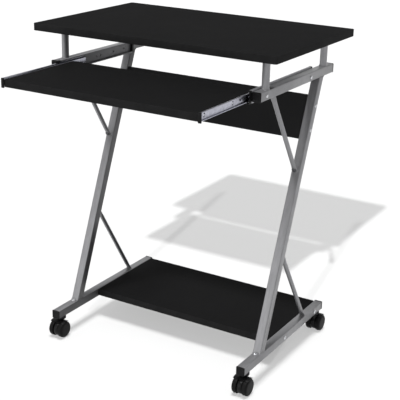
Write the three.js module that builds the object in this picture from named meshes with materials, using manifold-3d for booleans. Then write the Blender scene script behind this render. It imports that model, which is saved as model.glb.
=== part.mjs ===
// Computer desk with a pull-out keyboard tray: two Z-shaped side frames of square steel tube,
// a top held up on four round posts, a tray on ball-bearing slides, a tilted back panel,
// a low shelf and four twin-wheel casters. Millimetres, +Z up, front towards -Y.
// The tray stands at its outer stop.
import * as THREE from "three";
import { mergeVertices } from "three/addons/utils/BufferGeometryUtils.js";
import Module from "manifold-3d";

const wasm = await Module();
wasm.setup();

// ---- driving dimensions ----------------------------------------------------------------
const DESK_HEIGHT = 755;
const TOP_WIDTH = 600;
const TOP_DEPTH = 385;
const TOP_CORNER_RADIUS = 6;
const BOARD = 16;

const TUBE = 20;
const TUBE_WALL = 1.2;
const TUBE_CORNER_RADIUS = 2;
const FRAME_WIDTH = 524;
const JOINT_GAP = 0.3;

const RAIL_FRONT_Y = -198;
const RAIL_BACK_Y = 208;
const BEAM_FRONT_Y = -178;
const BEAM_BACK_Y = 176;
const POST_HEIGHT = 64;
const POST_RADIUS = 8;
const POST_WALL = 1.2;
const POST_SPACING_Y = 280;

const LEG_FOOT_Y = -123;
const LEG_HEAD_Y = 104;

const BRACE_RADIUS = 5;
const BRACE_FLAT_WIDTH = 14;
const BRACE_FLAT_THICKNESS = 4;
const BRACE_FLAT_LENGTH = 9;
const BRACE_TAPER_LENGTH = 16;
const LOWER_BRACE_FOOT_Y = 113;
const LOWER_BRACE_HEAD_RISE = 205;
const UPPER_BRACE_HEAD_Y = -106;
const UPPER_BRACE_FOOT_DROP = 200;

const CAP_RIM = 1.5;
const CAP_PLUG_LENGTH = 12;
const CAP_PLUG_CLEARANCE = 0.2;

const SHELF_FRONT_Y = -40;
const SHELF_BACK_Y = 203;
const SHELF_DROP = 0.5;
const SHELF_SIDE_CLEARANCE = 0.3;
const SHELF_BOLT_INSET = 40;

const PANEL_WIDTH = 100;
const PANEL_CENTRE_RISE = 497;

const SLIDE_LENGTH = 278;
const SLIDE_HEIGHT = 27;
const SLIDE_DEPTH = 9;
const SLIDE_SHEET = 1.2;
const SLIDE_LIP = 1;
const SLIDE_OUTER_DEPTH = 7.4;
const SLIDE_INNER_HEIGHT = 17;
const SLIDE_INNER_DEPTH = 6;
const SLIDE_AXIS_RISE = 9;
const TRAY_TRAVEL = 190;
const RETAINER_LENGTH = 80;
const RETAINER_HEIGHT = 20.6;
const RETAINER_DEPTH = 4.6;
const RETAINER_SHEET = 0.6;
const RETAINER_CLEARANCE = 0.3;

const TRAY_DEPTH = 232;
const TRAY_RISE = -1;
const TRAY_CLOSED_SETBACK = 1;
const STOP_CAP_THICKNESS = 2.5;
const STOP_CAP_MARGIN = 0.6;
const STOP_CAP_HEIGHT = 21;

const BOLT_HEAD_RADIUS = 5;
const BOLT_HEAD_HEIGHT = 2.6;
const BOLT_SHANK_RADIUS = 2.5;
const BOLT_HOLE_CLEARANCE = 0.3;
const BOLT_BITE = 18;
const FOOT_BOLT_RADIUS = 4.5;
const FOOT_BOLT_HEIGHT = 4;
const FOOT_BOLT_OFFSET = 5.5;

const CASTER_FRONT_Y = -176;
const CASTER_BACK_Y = 188;
const CASTER_TRAIL = 7.5;
const WHEEL_RADIUS = 20;
const WHEEL_WIDTH = 12;
const WHEEL_SHOULDER = 4.5;
const WHEEL_INNER_X = 7;
const AXLE_RADIUS = 3;
const AXLE_CLEARANCE = 0.12;
const AXLE_BITE = 7.8;
const STEM_RADIUS = 4;
const STEM_FLANGE_RADIUS = 11;
const STEM_FLANGE_HEIGHT = 7;
const STEM_REACH = 14;
const STEM_CLEARANCE = 0.15;
const HOOD_HALF_WIDTH = 5.5;
const HOOD_BOSS_RADIUS = 6.2;
const HOOD_HUB_RADIUS = 11;
const HOOD_GAP = 0.5;
const FENDER_CLEARANCE = 1;
const FENDER_THICKNESS = 1.5;
const FENDER_TO_RAIL = 8.5;
const FENDER_START_DEG = 60;
const FENDER_END_DEG = 120;
const WEB_RECESS = 2;
const WEB_START_DEG = -50;
const WEB_END_DEG = 230;

// ---- derived places --------------------------------------------------------------------
const frameOuterX = FRAME_WIDTH / 2;
const frameInnerX = frameOuterX - TUBE;
const frameMidX = frameOuterX - TUBE / 2;
const railBottomZ = 2 * WHEEL_RADIUS + FENDER_CLEARANCE + FENDER_THICKNESS + FENDER_TO_RAIL;
const railTopZ = railBottomZ + TUBE;
const topUndersideZ = DESK_HEIGHT - BOARD;
const beamTopZ = topUndersideZ - POST_HEIGHT;
const beamBottomZ = beamTopZ - TUBE;
const legLean = (LEG_HEAD_Y - LEG_FOOT_Y) / (beamBottomZ - railTopZ);
const legTilt = Math.atan(legLean);
const legDepth = TUBE / Math.cos(legTilt);
const slideAxisZ = beamBottomZ + SLIDE_AXIS_RISE;
const trayBottomZ = beamBottomZ + TRAY_RISE;
const trayHalfWidth = frameInnerX - SLIDE_DEPTH;
const closedFrontY = BEAM_FRONT_Y - TRAY_CLOSED_SETBACK;
const trayFrontY = closedFrontY - TRAY_TRAVEL;

const legFrontY = (z) => LEG_FOOT_Y + legLean * (z - railTopZ);
const legBackY = (z) => legFrontY(z) + legDepth;

// ---- finishes --------------------------------------------------------------------------
const finishes = {
  board: { color: 0x232325, roughness: 0.55, metalness: 0 },
  frame: { color: 0xa3a5a8, roughness: 0.42, metalness: 0.55 },
  zinc: { color: 0xb4b9c4, roughness: 0.32, metalness: 0.9 },
  bolt: { color: 0xc9cbce, roughness: 0.28, metalness: 1 },
  plastic: { color: 0x161617, roughness: 0.5, metalness: 0 },
  wheel: { color: 0x1b1b1c, roughness: 0.6, metalness: 0 },
};

// ---- geometry helpers ------------------------------------------------------------------

// Shared-vertex copy of a geometry, with no flat triangles and its faces pointing out.
function welded(geometry) {
  const plain = geometry.clone();
  plain.deleteAttribute("normal");
  if (plain.attributes.uv) plain.deleteAttribute("uv");
  const merged = mergeVertices(plain, 1e-4);
  const position = merged.attributes.position;
  const corners = Array.from(merged.index.array);
  const kept = [];
  for (let i = 0; i < corners.length; i += 3) {
    const [a, b, c] = corners.slice(i, i + 3);
    if (a !== b && b !== c && c !== a) kept.push(a, b, c);
  }
  const p = new THREE.Vector3();
  const q = new THREE.Vector3();
  const r = new THREE.Vector3();
  let volume = 0;
  for (let i = 0; i < kept.length; i += 3) {
    p.fromBufferAttribute(position, kept[i]);
    q.fromBufferAttribute(position, kept[i + 1]);
    r.fromBufferAttribute(position, kept[i + 2]);
    volume += p.dot(q.cross(r));
  }
  if (volume < 0) kept.reverse();
  const result = new THREE.BufferGeometry();
  result.setAttribute("position", position);
  result.setIndex(kept);
  result.computeVertexNormals();
  return result;
}

function toSolid(geometry) {
  const clean = welded(geometry);
  return new wasm.Manifold(
    new wasm.Mesh({
      numProp: 3,
      vertProperties: new Float32Array(clean.attributes.position.array),
      triVerts: new Uint32Array(clean.index.array),
    }),
  );
}

function fromSolid(solid) {
  const mesh = solid.getMesh();
  const geometry = new THREE.BufferGeometry();
  geometry.setAttribute("position", new THREE.BufferAttribute(new Float32Array(mesh.vertProperties), 3));
  geometry.setIndex(Array.from(mesh.triVerts));
  return geometry;
}

function block(x0, x1, y0, y1, z0, z1) {
  const geometry = new THREE.BoxGeometry(x1 - x0, y1 - y0, z1 - z0);
  return geometry.translate((x0 + x1) / 2, (y0 + y1) / 2, (z0 + z1) / 2);
}

// Outline of a rectangle w x h about its centre, with rounded corners.
function roundedRectangle(w, h, radius) {
  const shape = new THREE.Shape();
  const x = w / 2 - radius;
  const y = h / 2 - radius;
  shape.absarc(x, y, radius, 0, Math.PI / 2);
  shape.absarc(-x, y, radius, Math.PI / 2, Math.PI);
  shape.absarc(-x, -y, radius, Math.PI, 1.5 * Math.PI);
  shape.absarc(x, -y, radius, 1.5 * Math.PI, 2 * Math.PI);
  shape.closePath();
  return shape;
}

function rectanglePath(w, h) {
  const path = new THREE.Path();
  path.moveTo(-w / 2, -h / 2);
  path.lineTo(-w / 2, h / 2);
  path.lineTo(w / 2, h / 2);
  path.lineTo(w / 2, -h / 2);
  path.closePath();
  return path;
}

// A section drawn in X and Z, run along Y from y0 to y1.
function alongY(shape, y0, y1, curveSegments = 3) {
  const options = { depth: y1 - y0, bevelEnabled: false, curveSegments };
  const geometry = new THREE.ExtrudeGeometry(shape, options);
  return geometry.rotateX(Math.PI / 2).translate(0, y1, 0);
}

// A section drawn in Y and Z, run along X over a width centred on X = 0.
function acrossX(shape, width, curveSegments = 12) {
  const options = { depth: width, bevelEnabled: false, curveSegments };
  const geometry = new THREE.ExtrudeGeometry(shape, options);
  const turn = new THREE.Matrix4().set(0, 0, 1, -width / 2, 1, 0, 0, 0, 0, 1, 0, 0, 0, 0, 0, 1);
  return geometry.applyMatrix4(turn);
}

function tubeSection(w, h) {
  const shape = roundedRectangle(w, h, TUBE_CORNER_RADIUS);
  shape.holes.push(rectanglePath(w - 2 * TUBE_WALL, h - 2 * TUBE_WALL));
  return shape;
}

function polygon(points) {
  const shape = new THREE.Shape();
  shape.moveTo(points[0][0], points[0][1]);
  for (const [x, y] of points.slice(1)) shape.lineTo(x, y);
  shape.closePath();
  return shape;
}

function turned(profile, segments) {
  const points = profile.map(([r, h]) => new THREE.Vector2(r, h));
  return new THREE.LatheGeometry(points, segments);
}

// A turned piece standing along Z.
function turnedZ(profile, segments) {
  return turned(profile, segments).rotateX(Math.PI / 2);
}

// A turned piece lying along X; height in the profile runs towards side * X.
function turnedX(profile, segments, side = 1) {
  return turned(profile, segments).rotateZ((-side * Math.PI) / 2);
}

// ---- scene graph -----------------------------------------------------------------------
const desk = new THREE.Group();
const sides = [
  { tag: "left", s: -1 },
  { tag: "right", s: 1 },
];
const ends = [
  { tag: "front", s: -1 },
  { tag: "back", s: 1 },
];

function piece(name, geometry, finish) {
  const material = new THREE.MeshStandardMaterial({ ...finishes[finish], flatShading: true });
  const mesh = new THREE.Mesh(welded(geometry), material);
  mesh.name = name;
  desk.add(mesh);
  return mesh;
}

// ---- fasteners -------------------------------------------------------------------------
const shelfBottomZ = railTopZ - SHELF_DROP - BOARD;
const shelfBoltZ = (railBottomZ + railTopZ) / 2;
const shelfBoltYs = [SHELF_FRONT_Y + SHELF_BOLT_INSET, SHELF_BACK_Y - SHELF_BOLT_INSET];
const footBoltY = LEG_FOOT_Y - FOOT_BOLT_OFFSET;

// Pan-head bolt lying along X: head on the rail's outer face, shank through to the shelf.
function shelfBolt(side, y) {
  const reach = TUBE + BOLT_BITE;
  const profile = [
    [0, -reach],
    [BOLT_SHANK_RADIUS, -reach],
    [BOLT_SHANK_RADIUS, 0],
    [BOLT_HEAD_RADIUS, 0],
    [BOLT_HEAD_RADIUS, BOLT_HEAD_HEIGHT * 0.4],
    [BOLT_HEAD_RADIUS * 0.7, BOLT_HEAD_HEIGHT],
    [0, BOLT_HEAD_HEIGHT],
  ];
  return turnedX(profile, 16, side).translate(side * frameOuterX, y, shelfBoltZ);
}

function boltHoleX(x0, x1, y, z) {
  const r = BOLT_SHANK_RADIUS + BOLT_HOLE_CLEARANCE;
  const profile = [
    [0, 0],
    [r, 0],
    [r, x1 - x0],
    [0, x1 - x0],
  ];
  return toSolid(turnedX(profile, 16).translate(x0, y, z));
}

function uprightHole(radius, x, y, z0, z1) {
  const profile = [
    [0, 0],
    [radius, 0],
    [radius, z1 - z0],
    [0, z1 - z0],
  ];
  return toSolid(turnedZ(profile, 16).translate(x, y, z0));
}

// ---- side frames -----------------------------------------------------------------------
const casterRows = [
  { tag: "front", y: CASTER_FRONT_Y, trail: -CASTER_TRAIL },
  { tag: "back", y: CASTER_BACK_Y, trail: CASTER_TRAIL },
];

function lyingTube(x, y0, y1, zMid) {
  return alongY(tubeSection(TUBE, TUBE), y0 + CAP_RIM, y1 - CAP_RIM).translate(x, 0, zMid);
}

function rail(side) {
  const x = side * frameMidX;
  let solid = toSolid(lyingTube(x, RAIL_FRONT_Y, RAIL_BACK_Y, (railBottomZ + railTopZ) / 2));
  for (const y of shelfBoltYs) {
    const hole = boltHoleX(x - TUBE, x + TUBE, y, shelfBoltZ);
    solid = solid.subtract(hole);
  }
  const boltHole = BOLT_SHANK_RADIUS + BOLT_HOLE_CLEARANCE;
  solid = solid.subtract(uprightHole(boltHole, x, footBoltY, railTopZ - TUBE_WALL - 1, railTopZ + 1));
  const stemHole = STEM_RADIUS + STEM_CLEARANCE;
  for (const row of casterRows) {
    const z1 = railBottomZ + TUBE_WALL + 1;
    solid = solid.subtract(uprightHole(stemHole, x, row.y, railBottomZ - 1, z1));
  }
  return fromSolid(solid);
}

// The inclined leg, cut level at both ends so that it sits on the rail and under the beam.
function leg(side) {
  const options = { depth: beamBottomZ - railTopZ, bevelEnabled: false, curveSegments: 3 };
  const geometry = new THREE.ExtrudeGeometry(tubeSection(TUBE, legDepth), options);
  const lean = new THREE.Matrix4().set(1, 0, 0, 0, 0, 1, legLean, 0, 0, 0, 1, 0, 0, 0, 0, 1);
  geometry.applyMatrix4(lean);
  return geometry.translate(side * frameMidX, LEG_FOOT_Y + legDepth / 2, railTopZ);
}

// A round bar in the plane X = x whose two ends are pressed flat and meet a face each.
// Each end is { point, normal }, in Y and Z, the normal pointing off the face to the bar.
function brace(x, a, b) {
  const start = new THREE.Vector3(x, a.point[0], a.point[1]);
  const finish = new THREE.Vector3(x, b.point[0], b.point[1]);
  const along = finish.clone().sub(start);
  const length = along.length();
  along.normalize();
  const acrossBar = new THREE.Vector3(1, 0, 0);
  const normal = new THREE.Vector3().crossVectors(acrossBar, along);
  const flat = BRACE_FLAT_LENGTH;
  const full = BRACE_FLAT_LENGTH + BRACE_TAPER_LENGTH;
  const stations = [0, flat, full, length - full, length - flat, length];
  const pressed = { u: BRACE_FLAT_WIDTH / 2, v: BRACE_FLAT_THICKNESS / 2 };
  const round = { u: BRACE_RADIUS, v: BRACE_RADIUS };
  const sections = [pressed, pressed, round, round, pressed, pressed];
  const geometry = new THREE.CylinderGeometry(1, 1, 1, 16, stations.length - 1);
  const position = geometry.attributes.position;
  const faces = [
    { face: a, inward: along },
    { face: b, inward: along.clone().negate() },
  ];
  for (let i = 0; i < position.count; i += 1) {
    const ring = Math.round((position.getY(i) + 0.5) * (stations.length - 1));
    const { u, v } = sections[ring];
    const offset = acrossBar.clone().multiplyScalar(position.getX(i) * u);
    offset.addScaledVector(normal, position.getZ(i) * v);
    const place = start.clone().addScaledVector(along, stations[ring]).add(offset);
    const end = ring === 0 ? faces[0] : ring === stations.length - 1 ? faces[1] : null;
    if (end) {
      const n = new THREE.Vector3(0, end.face.normal[0], end.face.normal[1]);
      const shift = (JOINT_GAP - offset.dot(n)) / end.inward.dot(n);
      place.addScaledVector(end.inward, shift);
    }
    position.setXYZ(i, place.x, place.y, place.z);
  }
  return geometry;
}

const legUp = { front: [-Math.cos(legTilt), Math.sin(legTilt)], back: [Math.cos(legTilt), -Math.sin(legTilt)] };
const lowerHeadZ = railTopZ + LOWER_BRACE_HEAD_RISE;
const upperFootZ = beamBottomZ - UPPER_BRACE_FOOT_DROP;

function endCap(side, end, y, zMid) {
  const rim = roundedRectangle(TUBE, TUBE, TUBE_CORNER_RADIUS);
  const plugSize = TUBE - 2 * TUBE_WALL - 2 * CAP_PLUG_CLEARANCE;
  const plug = roundedRectangle(plugSize, plugSize, 1);
  const outer = y;
  const inner = y - end * CAP_RIM;
  const tip = inner - end * CAP_PLUG_LENGTH;
  const rimSolid = toSolid(alongY(rim, Math.min(outer, inner), Math.max(outer, inner)));
  const plugStart = end < 0 ? inner - 0.5 : tip;
  const plugEnd = end < 0 ? tip : inner + 0.5;
  const plugSolid = toSolid(alongY(plug, plugStart, plugEnd));
  return fromSolid(rimSolid.add(plugSolid)).translate(side * frameMidX, 0, zMid);
}

for (const { tag, s } of sides) {
  const x = s * frameMidX;
  const railMidZ = (railBottomZ + railTopZ) / 2;
  const beamMidZ = (beamBottomZ + beamTopZ) / 2;
  piece(`rail_${tag}`, rail(s), "frame");
  piece(`leg_${tag}`, leg(s), "frame");
  piece(`beam_${tag}`, lyingTube(x, BEAM_FRONT_Y, BEAM_BACK_Y, beamMidZ), "frame");
  const lower = brace(
    x,
    { point: [LOWER_BRACE_FOOT_Y, railTopZ], normal: [0, 1] },
    { point: [legBackY(lowerHeadZ), lowerHeadZ], normal: legUp.back },
  );
  piece(`lower_brace_${tag}`, lower, "frame");
  const upper = brace(
    x,
    { point: [legFrontY(upperFootZ), upperFootZ], normal: legUp.front },
    { point: [UPPER_BRACE_HEAD_Y, beamBottomZ], normal: [0, -1] },
  );
  piece(`upper_brace_${tag}`, upper, "frame");
  for (const end of ends) {
    const railEndY = end.s < 0 ? RAIL_FRONT_Y : RAIL_BACK_Y;
    const beamEndY = end.s < 0 ? BEAM_FRONT_Y : BEAM_BACK_Y;
    piece(`rail_cap_${tag}_${end.tag}`, endCap(s, end.s, railEndY, railMidZ), "plastic");
    piece(`beam_cap_${tag}_${end.tag}`, endCap(s, end.s, beamEndY, beamMidZ), "plastic");
    const postProfile = [
      [POST_RADIUS - POST_WALL, 0],
      [POST_RADIUS, 0],
      [POST_RADIUS, POST_HEIGHT],
      [POST_RADIUS - POST_WALL, POST_HEIGHT],
      [POST_RADIUS - POST_WALL, 0],
    ];
    const post = turnedZ(postProfile, 24).translate(x, (end.s * POST_SPACING_Y) / 2, beamTopZ);
    piece(`post_${tag}_${end.tag}`, post, "frame");
    const boltY = end.s < 0 ? shelfBoltYs[0] : shelfBoltYs[1];
    piece(`shelf_bolt_${tag}_${end.tag}`, shelfBolt(s, boltY), "bolt");
  }
  const footBolt = [
    [0, -TUBE_WALL - 4],
    [BOLT_SHANK_RADIUS, -TUBE_WALL - 4],
    [BOLT_SHANK_RADIUS, 0],
    [FOOT_BOLT_RADIUS, 0],
    [FOOT_BOLT_RADIUS, FOOT_BOLT_HEIGHT * 0.35],
    [FOOT_BOLT_RADIUS * 0.75, FOOT_BOLT_HEIGHT * 0.8],
    [FOOT_BOLT_RADIUS * 0.35, FOOT_BOLT_HEIGHT],
    [0, FOOT_BOLT_HEIGHT],
  ];
  piece(`foot_bolt_${tag}`, turnedZ(footBolt, 16).translate(x, footBoltY, railTopZ), "bolt");
}

// ---- boards ----------------------------------------------------------------------------
const topOutline = roundedRectangle(TOP_WIDTH, TOP_DEPTH, TOP_CORNER_RADIUS);
const topOptions = { depth: BOARD, bevelEnabled: false, curveSegments: 4 };
const topBoard = new THREE.ExtrudeGeometry(topOutline, topOptions).translate(0, 0, topUndersideZ);
piece("tabletop", topBoard, "board");

const shelfHalfWidth = frameInnerX - SHELF_SIDE_CLEARANCE;
let shelf = toSolid(
  block(-shelfHalfWidth, shelfHalfWidth, SHELF_FRONT_Y, SHELF_BACK_Y, shelfBottomZ, shelfBottomZ + BOARD),
);
for (const { s } of sides) {
  for (const y of shelfBoltYs) {
    const tip = frameInnerX - BOLT_BITE - 1;
    const hole = s < 0 ? boltHoleX(-frameOuterX, -tip, y, shelfBoltZ) : boltHoleX(tip, frameOuterX, y, shelfBoltZ);
    shelf = shelf.subtract(hole);
  }
}
piece("bottom_shelf", fromSolid(shelf), "board");

const panelZ = railTopZ + PANEL_CENTRE_RISE;
const panel = piece(
  "back_panel",
  new THREE.BoxGeometry(2 * (frameInnerX - JOINT_GAP), BOARD, PANEL_WIDTH),
  "board",
);
panel.position.set(0, (legFrontY(panelZ) + legBackY(panelZ)) / 2, panelZ);
panel.rotation.x = -legTilt;

const trayBackY = trayFrontY + TRAY_DEPTH;
const tray = block(-trayHalfWidth, trayHalfWidth, trayFrontY, trayBackY, trayBottomZ, trayBottomZ + BOARD);
piece("keyboard_tray", tray, "board");

// ---- telescopic slides -----------------------------------------------------------------
// Each section is drawn for the right side in X and Z about the slide's axis and mirrored.

// A channel with its web at x = webX and its flanges running to x = mouthX.
function channel(webX, mouthX, height, sheet, lip) {
  const d = Math.sign(mouthX - webX);
  const h = height / 2;
  const points = [
    [webX, -h],
    [mouthX, -h],
    [mouthX, -h + sheet + lip],
    [mouthX - d * sheet, -h + sheet + lip],
    [mouthX - d * sheet, -h + sheet],
    [webX + d * sheet, -h + sheet],
    [webX + d * sheet, h - sheet],
    [mouthX - d * sheet, h - sheet],
    [mouthX - d * sheet, h - sheet - lip],
    [mouthX, h - sheet - lip],
    [mouthX, h],
    [webX, h],
  ];
  if (lip > 0) return points;
  return points.filter((_, i) => ![3, 4, 7, 8].includes(i));
}

function slideMember(side, points, y0, y1) {
  const mirrored = points.map(([x, z]) => [side * x, z]);
  return alongY(polygon(mirrored), y0, y1).translate(0, 0, slideAxisZ);
}

const outerBackY = BEAM_FRONT_Y + SLIDE_LENGTH;
const innerBackY = trayFrontY + SLIDE_LENGTH;
const outerSection = channel(
  frameInnerX,
  frameInnerX - SLIDE_OUTER_DEPTH,
  SLIDE_HEIGHT,
  SLIDE_SHEET,
  SLIDE_LIP,
);
const innerSection = channel(
  trayHalfWidth,
  trayHalfWidth + SLIDE_INNER_DEPTH,
  SLIDE_INNER_HEIGHT,
  SLIDE_SHEET,
  0,
);
const retainerWebX = frameInnerX - SLIDE_SHEET - RETAINER_CLEARANCE;
const retainerSection = channel(
  retainerWebX,
  retainerWebX - RETAINER_DEPTH,
  RETAINER_HEIGHT,
  RETAINER_SHEET,
  0,
);
const retainerMidY = (BEAM_FRONT_Y + innerBackY) / 2;

for (const { tag, s } of sides) {
  piece(`slide_outer_${tag}`, slideMember(s, outerSection, BEAM_FRONT_Y, outerBackY), "zinc");
  piece(`slide_inner_${tag}`, slideMember(s, innerSection, trayFrontY, innerBackY), "zinc");
  const y0 = retainerMidY - RETAINER_LENGTH / 2;
  const retainer = slideMember(s, retainerSection, y0, y0 + RETAINER_LENGTH);
  piece(`slide_retainer_${tag}`, retainer, "zinc");
  const capX0 = trayHalfWidth - STOP_CAP_MARGIN;
  const capX1 = trayHalfWidth + SLIDE_INNER_DEPTH + STOP_CAP_MARGIN;
  const cap = roundedRectangle(capX1 - capX0, STOP_CAP_HEIGHT, 1);
  const capZ = slideAxisZ - (STOP_CAP_HEIGHT - SLIDE_INNER_HEIGHT) / 2 + STOP_CAP_MARGIN;
  const stopCap = alongY(cap, trayFrontY - STOP_CAP_THICKNESS, trayFrontY, 2);
  piece(`slide_cap_${tag}`, stopCap.translate((s * (capX0 + capX1)) / 2, 0, capZ), "plastic");
}

// ---- casters ---------------------------------------------------------------------------
const fenderInner = WHEEL_RADIUS + FENDER_CLEARANCE;
const fenderOuter = fenderInner + FENDER_THICKNESS;
const wheelOuterX = WHEEL_INNER_X + WHEEL_WIDTH;
const flangeBottomZ = railBottomZ - STEM_FLANGE_HEIGHT;
const hoodTopZ = flangeBottomZ - HOOD_GAP;

function stem(x, y) {
  const pinBottom = -STEM_FLANGE_HEIGHT - STEM_REACH;
  const profile = [
    [0, pinBottom],
    [STEM_RADIUS, pinBottom],
    [STEM_RADIUS, -STEM_FLANGE_HEIGHT],
    [STEM_FLANGE_RADIUS, -STEM_FLANGE_HEIGHT],
    [STEM_FLANGE_RADIUS, 0],
    [STEM_RADIUS, 0],
    [STEM_RADIUS, TUBE / 2],
    [0, TUBE / 2],
  ];
  return turnedZ(profile, 20).translate(x, y, railBottomZ);
}

// The hood about its axle: a web between the wheels, a fender over them and a stem boss.
function hood(x, axleY, stemY) {
  const a0 = THREE.MathUtils.degToRad(FENDER_START_DEG);
  const a1 = THREE.MathUtils.degToRad(FENDER_END_DEG);
  const neckRadius = fenderInner + FENDER_THICKNESS / 2;
  const webRadius = WHEEL_RADIUS - WEB_RECESS;
  const webStart = THREE.MathUtils.degToRad(WEB_START_DEG);
  const webEnd = THREE.MathUtils.degToRad(WEB_END_DEG);
  const web = new THREE.Shape();
  web.absarc(0, 0, webRadius, webStart, a0);
  web.absarc(0, 0, neckRadius, a0, a1);
  web.absarc(0, 0, webRadius, a1, webEnd);
  web.absarc(0, 0, HOOD_HUB_RADIUS, webEnd, webStart + 2 * Math.PI);
  web.closePath();
  const fender = new THREE.Shape();
  fender.absarc(0, 0, fenderOuter, a0, a1);
  fender.absarc(0, 0, fenderInner, a1, a0, true);
  fender.closePath();
  const bossHeight = hoodTopZ - WHEEL_RADIUS - 4;
  const boss = turnedZ(
    [
      [0, 0],
      [HOOD_BOSS_RADIUS, 0],
      [HOOD_BOSS_RADIUS, bossHeight],
      [0, bossHeight],
    ],
    20,
  ).translate(0, stemY - axleY, hoodTopZ - WHEEL_RADIUS - bossHeight);
  const pinHole = uprightHole(
    STEM_RADIUS + STEM_CLEARANCE,
    0,
    stemY - axleY,
    flangeBottomZ - STEM_REACH - 0.5 - WHEEL_RADIUS,
    hoodTopZ + 1 - WHEEL_RADIUS,
  );
  const r = AXLE_RADIUS + AXLE_CLEARANCE;
  const half = HOOD_HALF_WIDTH + 1;
  const axleHole = toSolid(
    turnedX(
      [
        [0, -half],
        [r, -half],
        [r, half],
        [0, half],
      ],
      16,
    ),
  );
  const solid = toSolid(acrossX(web, 2 * HOOD_HALF_WIDTH))
    .add(toSolid(acrossX(fender, 2 * wheelOuterX)))
    .add(toSolid(boss))
    .subtract(pinHole)
    .subtract(axleHole);
  return fromSolid(solid).translate(x, axleY, WHEEL_RADIUS);
}

function axle(x, axleY) {
  const half = WHEEL_INNER_X + AXLE_BITE;
  const profile = [
    [0, -half],
    [AXLE_RADIUS, -half],
    [AXLE_RADIUS, half],
    [0, half],
  ];
  return turnedX(profile, 16).translate(x, axleY, WHEEL_RADIUS);
}

function wheel(x, axleY, side) {
  const bore = AXLE_RADIUS + AXLE_CLEARANCE;
  const bottom = AXLE_BITE + 0.3;
  const profile = [
    [0, bottom],
    [bore, bottom],
    [bore, 0],
    [WHEEL_RADIUS - 1.5, 0],
    [WHEEL_RADIUS, 1.5],
    [WHEEL_RADIUS, WHEEL_WIDTH - WHEEL_SHOULDER],
    [WHEEL_RADIUS - 0.3 * WHEEL_SHOULDER, WHEEL_WIDTH - 0.3 * WHEEL_SHOULDER],
    [WHEEL_RADIUS - WHEEL_SHOULDER, WHEEL_WIDTH],
    [WHEEL_RADIUS - WHEEL_SHOULDER - 1.5, WHEEL_WIDTH - 0.7],
    [0, WHEEL_WIDTH - 0.7],
  ];
  return turnedX(profile, 28, side).translate(x + side * WHEEL_INNER_X, axleY, WHEEL_RADIUS);
}

for (const { tag, s } of sides) {
  for (const row of casterRows) {
    const x = s * frameMidX;
    const axleY = row.y + row.trail;
    const name = `caster_${row.tag}_${tag}`;
    piece(`${name}_stem`, stem(x, row.y), "bolt");
    piece(`${name}_hood`, hood(x, axleY, row.y), "plastic");
    piece(`${name}_axle`, axle(x, axleY), "bolt");
    piece(`${name}_wheel_a`, wheel(x, axleY, -1), "wheel");
    piece(`${name}_wheel_b`, wheel(x, axleY, 1), "wheel");
  }
}

// ---- origin: on the floor, under the middle of the whole desk with the tray out --------
desk.updateMatrixWorld(true);
const extent = new THREE.Box3().setFromObject(desk, true);
desk.position.y = -(extent.min.y + extent.max.y) / 2;

export default desk;
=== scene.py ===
"""Looks of a rolling computer desk with a pull-out keyboard tray.

Each sub-assembly is a class that holds its sizes in metres, builds its meshes and dresses
them in the finishes at the top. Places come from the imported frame.
"""

import logging
from dataclasses import dataclass, field
from enum import Enum
from functools import cache
from math import cos, pi, radians, sin, tan
from typing import Callable, Sequence

import bmesh
import bpy
from mathutils import Matrix, Vector


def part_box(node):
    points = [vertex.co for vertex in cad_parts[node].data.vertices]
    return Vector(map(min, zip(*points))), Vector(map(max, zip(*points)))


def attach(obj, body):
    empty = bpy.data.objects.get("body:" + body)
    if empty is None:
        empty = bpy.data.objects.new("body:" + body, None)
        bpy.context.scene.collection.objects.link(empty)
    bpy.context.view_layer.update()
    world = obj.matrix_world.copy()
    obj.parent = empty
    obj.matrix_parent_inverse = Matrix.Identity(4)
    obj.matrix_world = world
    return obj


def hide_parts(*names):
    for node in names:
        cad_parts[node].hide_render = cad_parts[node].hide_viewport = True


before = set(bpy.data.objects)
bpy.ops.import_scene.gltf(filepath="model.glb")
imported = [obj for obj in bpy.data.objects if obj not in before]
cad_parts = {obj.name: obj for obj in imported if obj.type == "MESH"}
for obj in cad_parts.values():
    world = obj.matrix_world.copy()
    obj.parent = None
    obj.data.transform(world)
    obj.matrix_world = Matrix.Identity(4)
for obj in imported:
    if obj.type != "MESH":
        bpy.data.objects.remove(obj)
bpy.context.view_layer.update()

logging.basicConfig(level=logging.INFO, format="%(message)s")
log = logging.getLogger("desk")

MM = 0.001
X = Vector((1.0, 0.0, 0.0))
Y = Vector((0.0, 1.0, 0.0))
Z = Vector((0.0, 0.0, 1.0))

Point2 = tuple[float, float]
Colour = tuple[float, float, float]
Ring = list[Vector]
Socket = bpy.types.NodeSocket

# The corners of a square, by sign, from the far right and from the near left.
FAR_CORNERS = ((1, 1), (-1, 1), (-1, -1), (1, -1))
NEAR_CORNERS = ((-1, -1), (1, -1), (1, 1), (-1, 1))


# ---- Finishes ----


def fill(node: bpy.types.Node, **values: float | tuple[float, ...]) -> bpy.types.Node:
    """Set plain values on a node's own inputs.

    Args:
        node: The node.
        values: A value for each input's name, underscores standing for spaces.

    Returns:
        The node.
    """
    for key, value in values.items():
        node.inputs[key.replace("_", " ")].default_value = value
    return node


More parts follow.
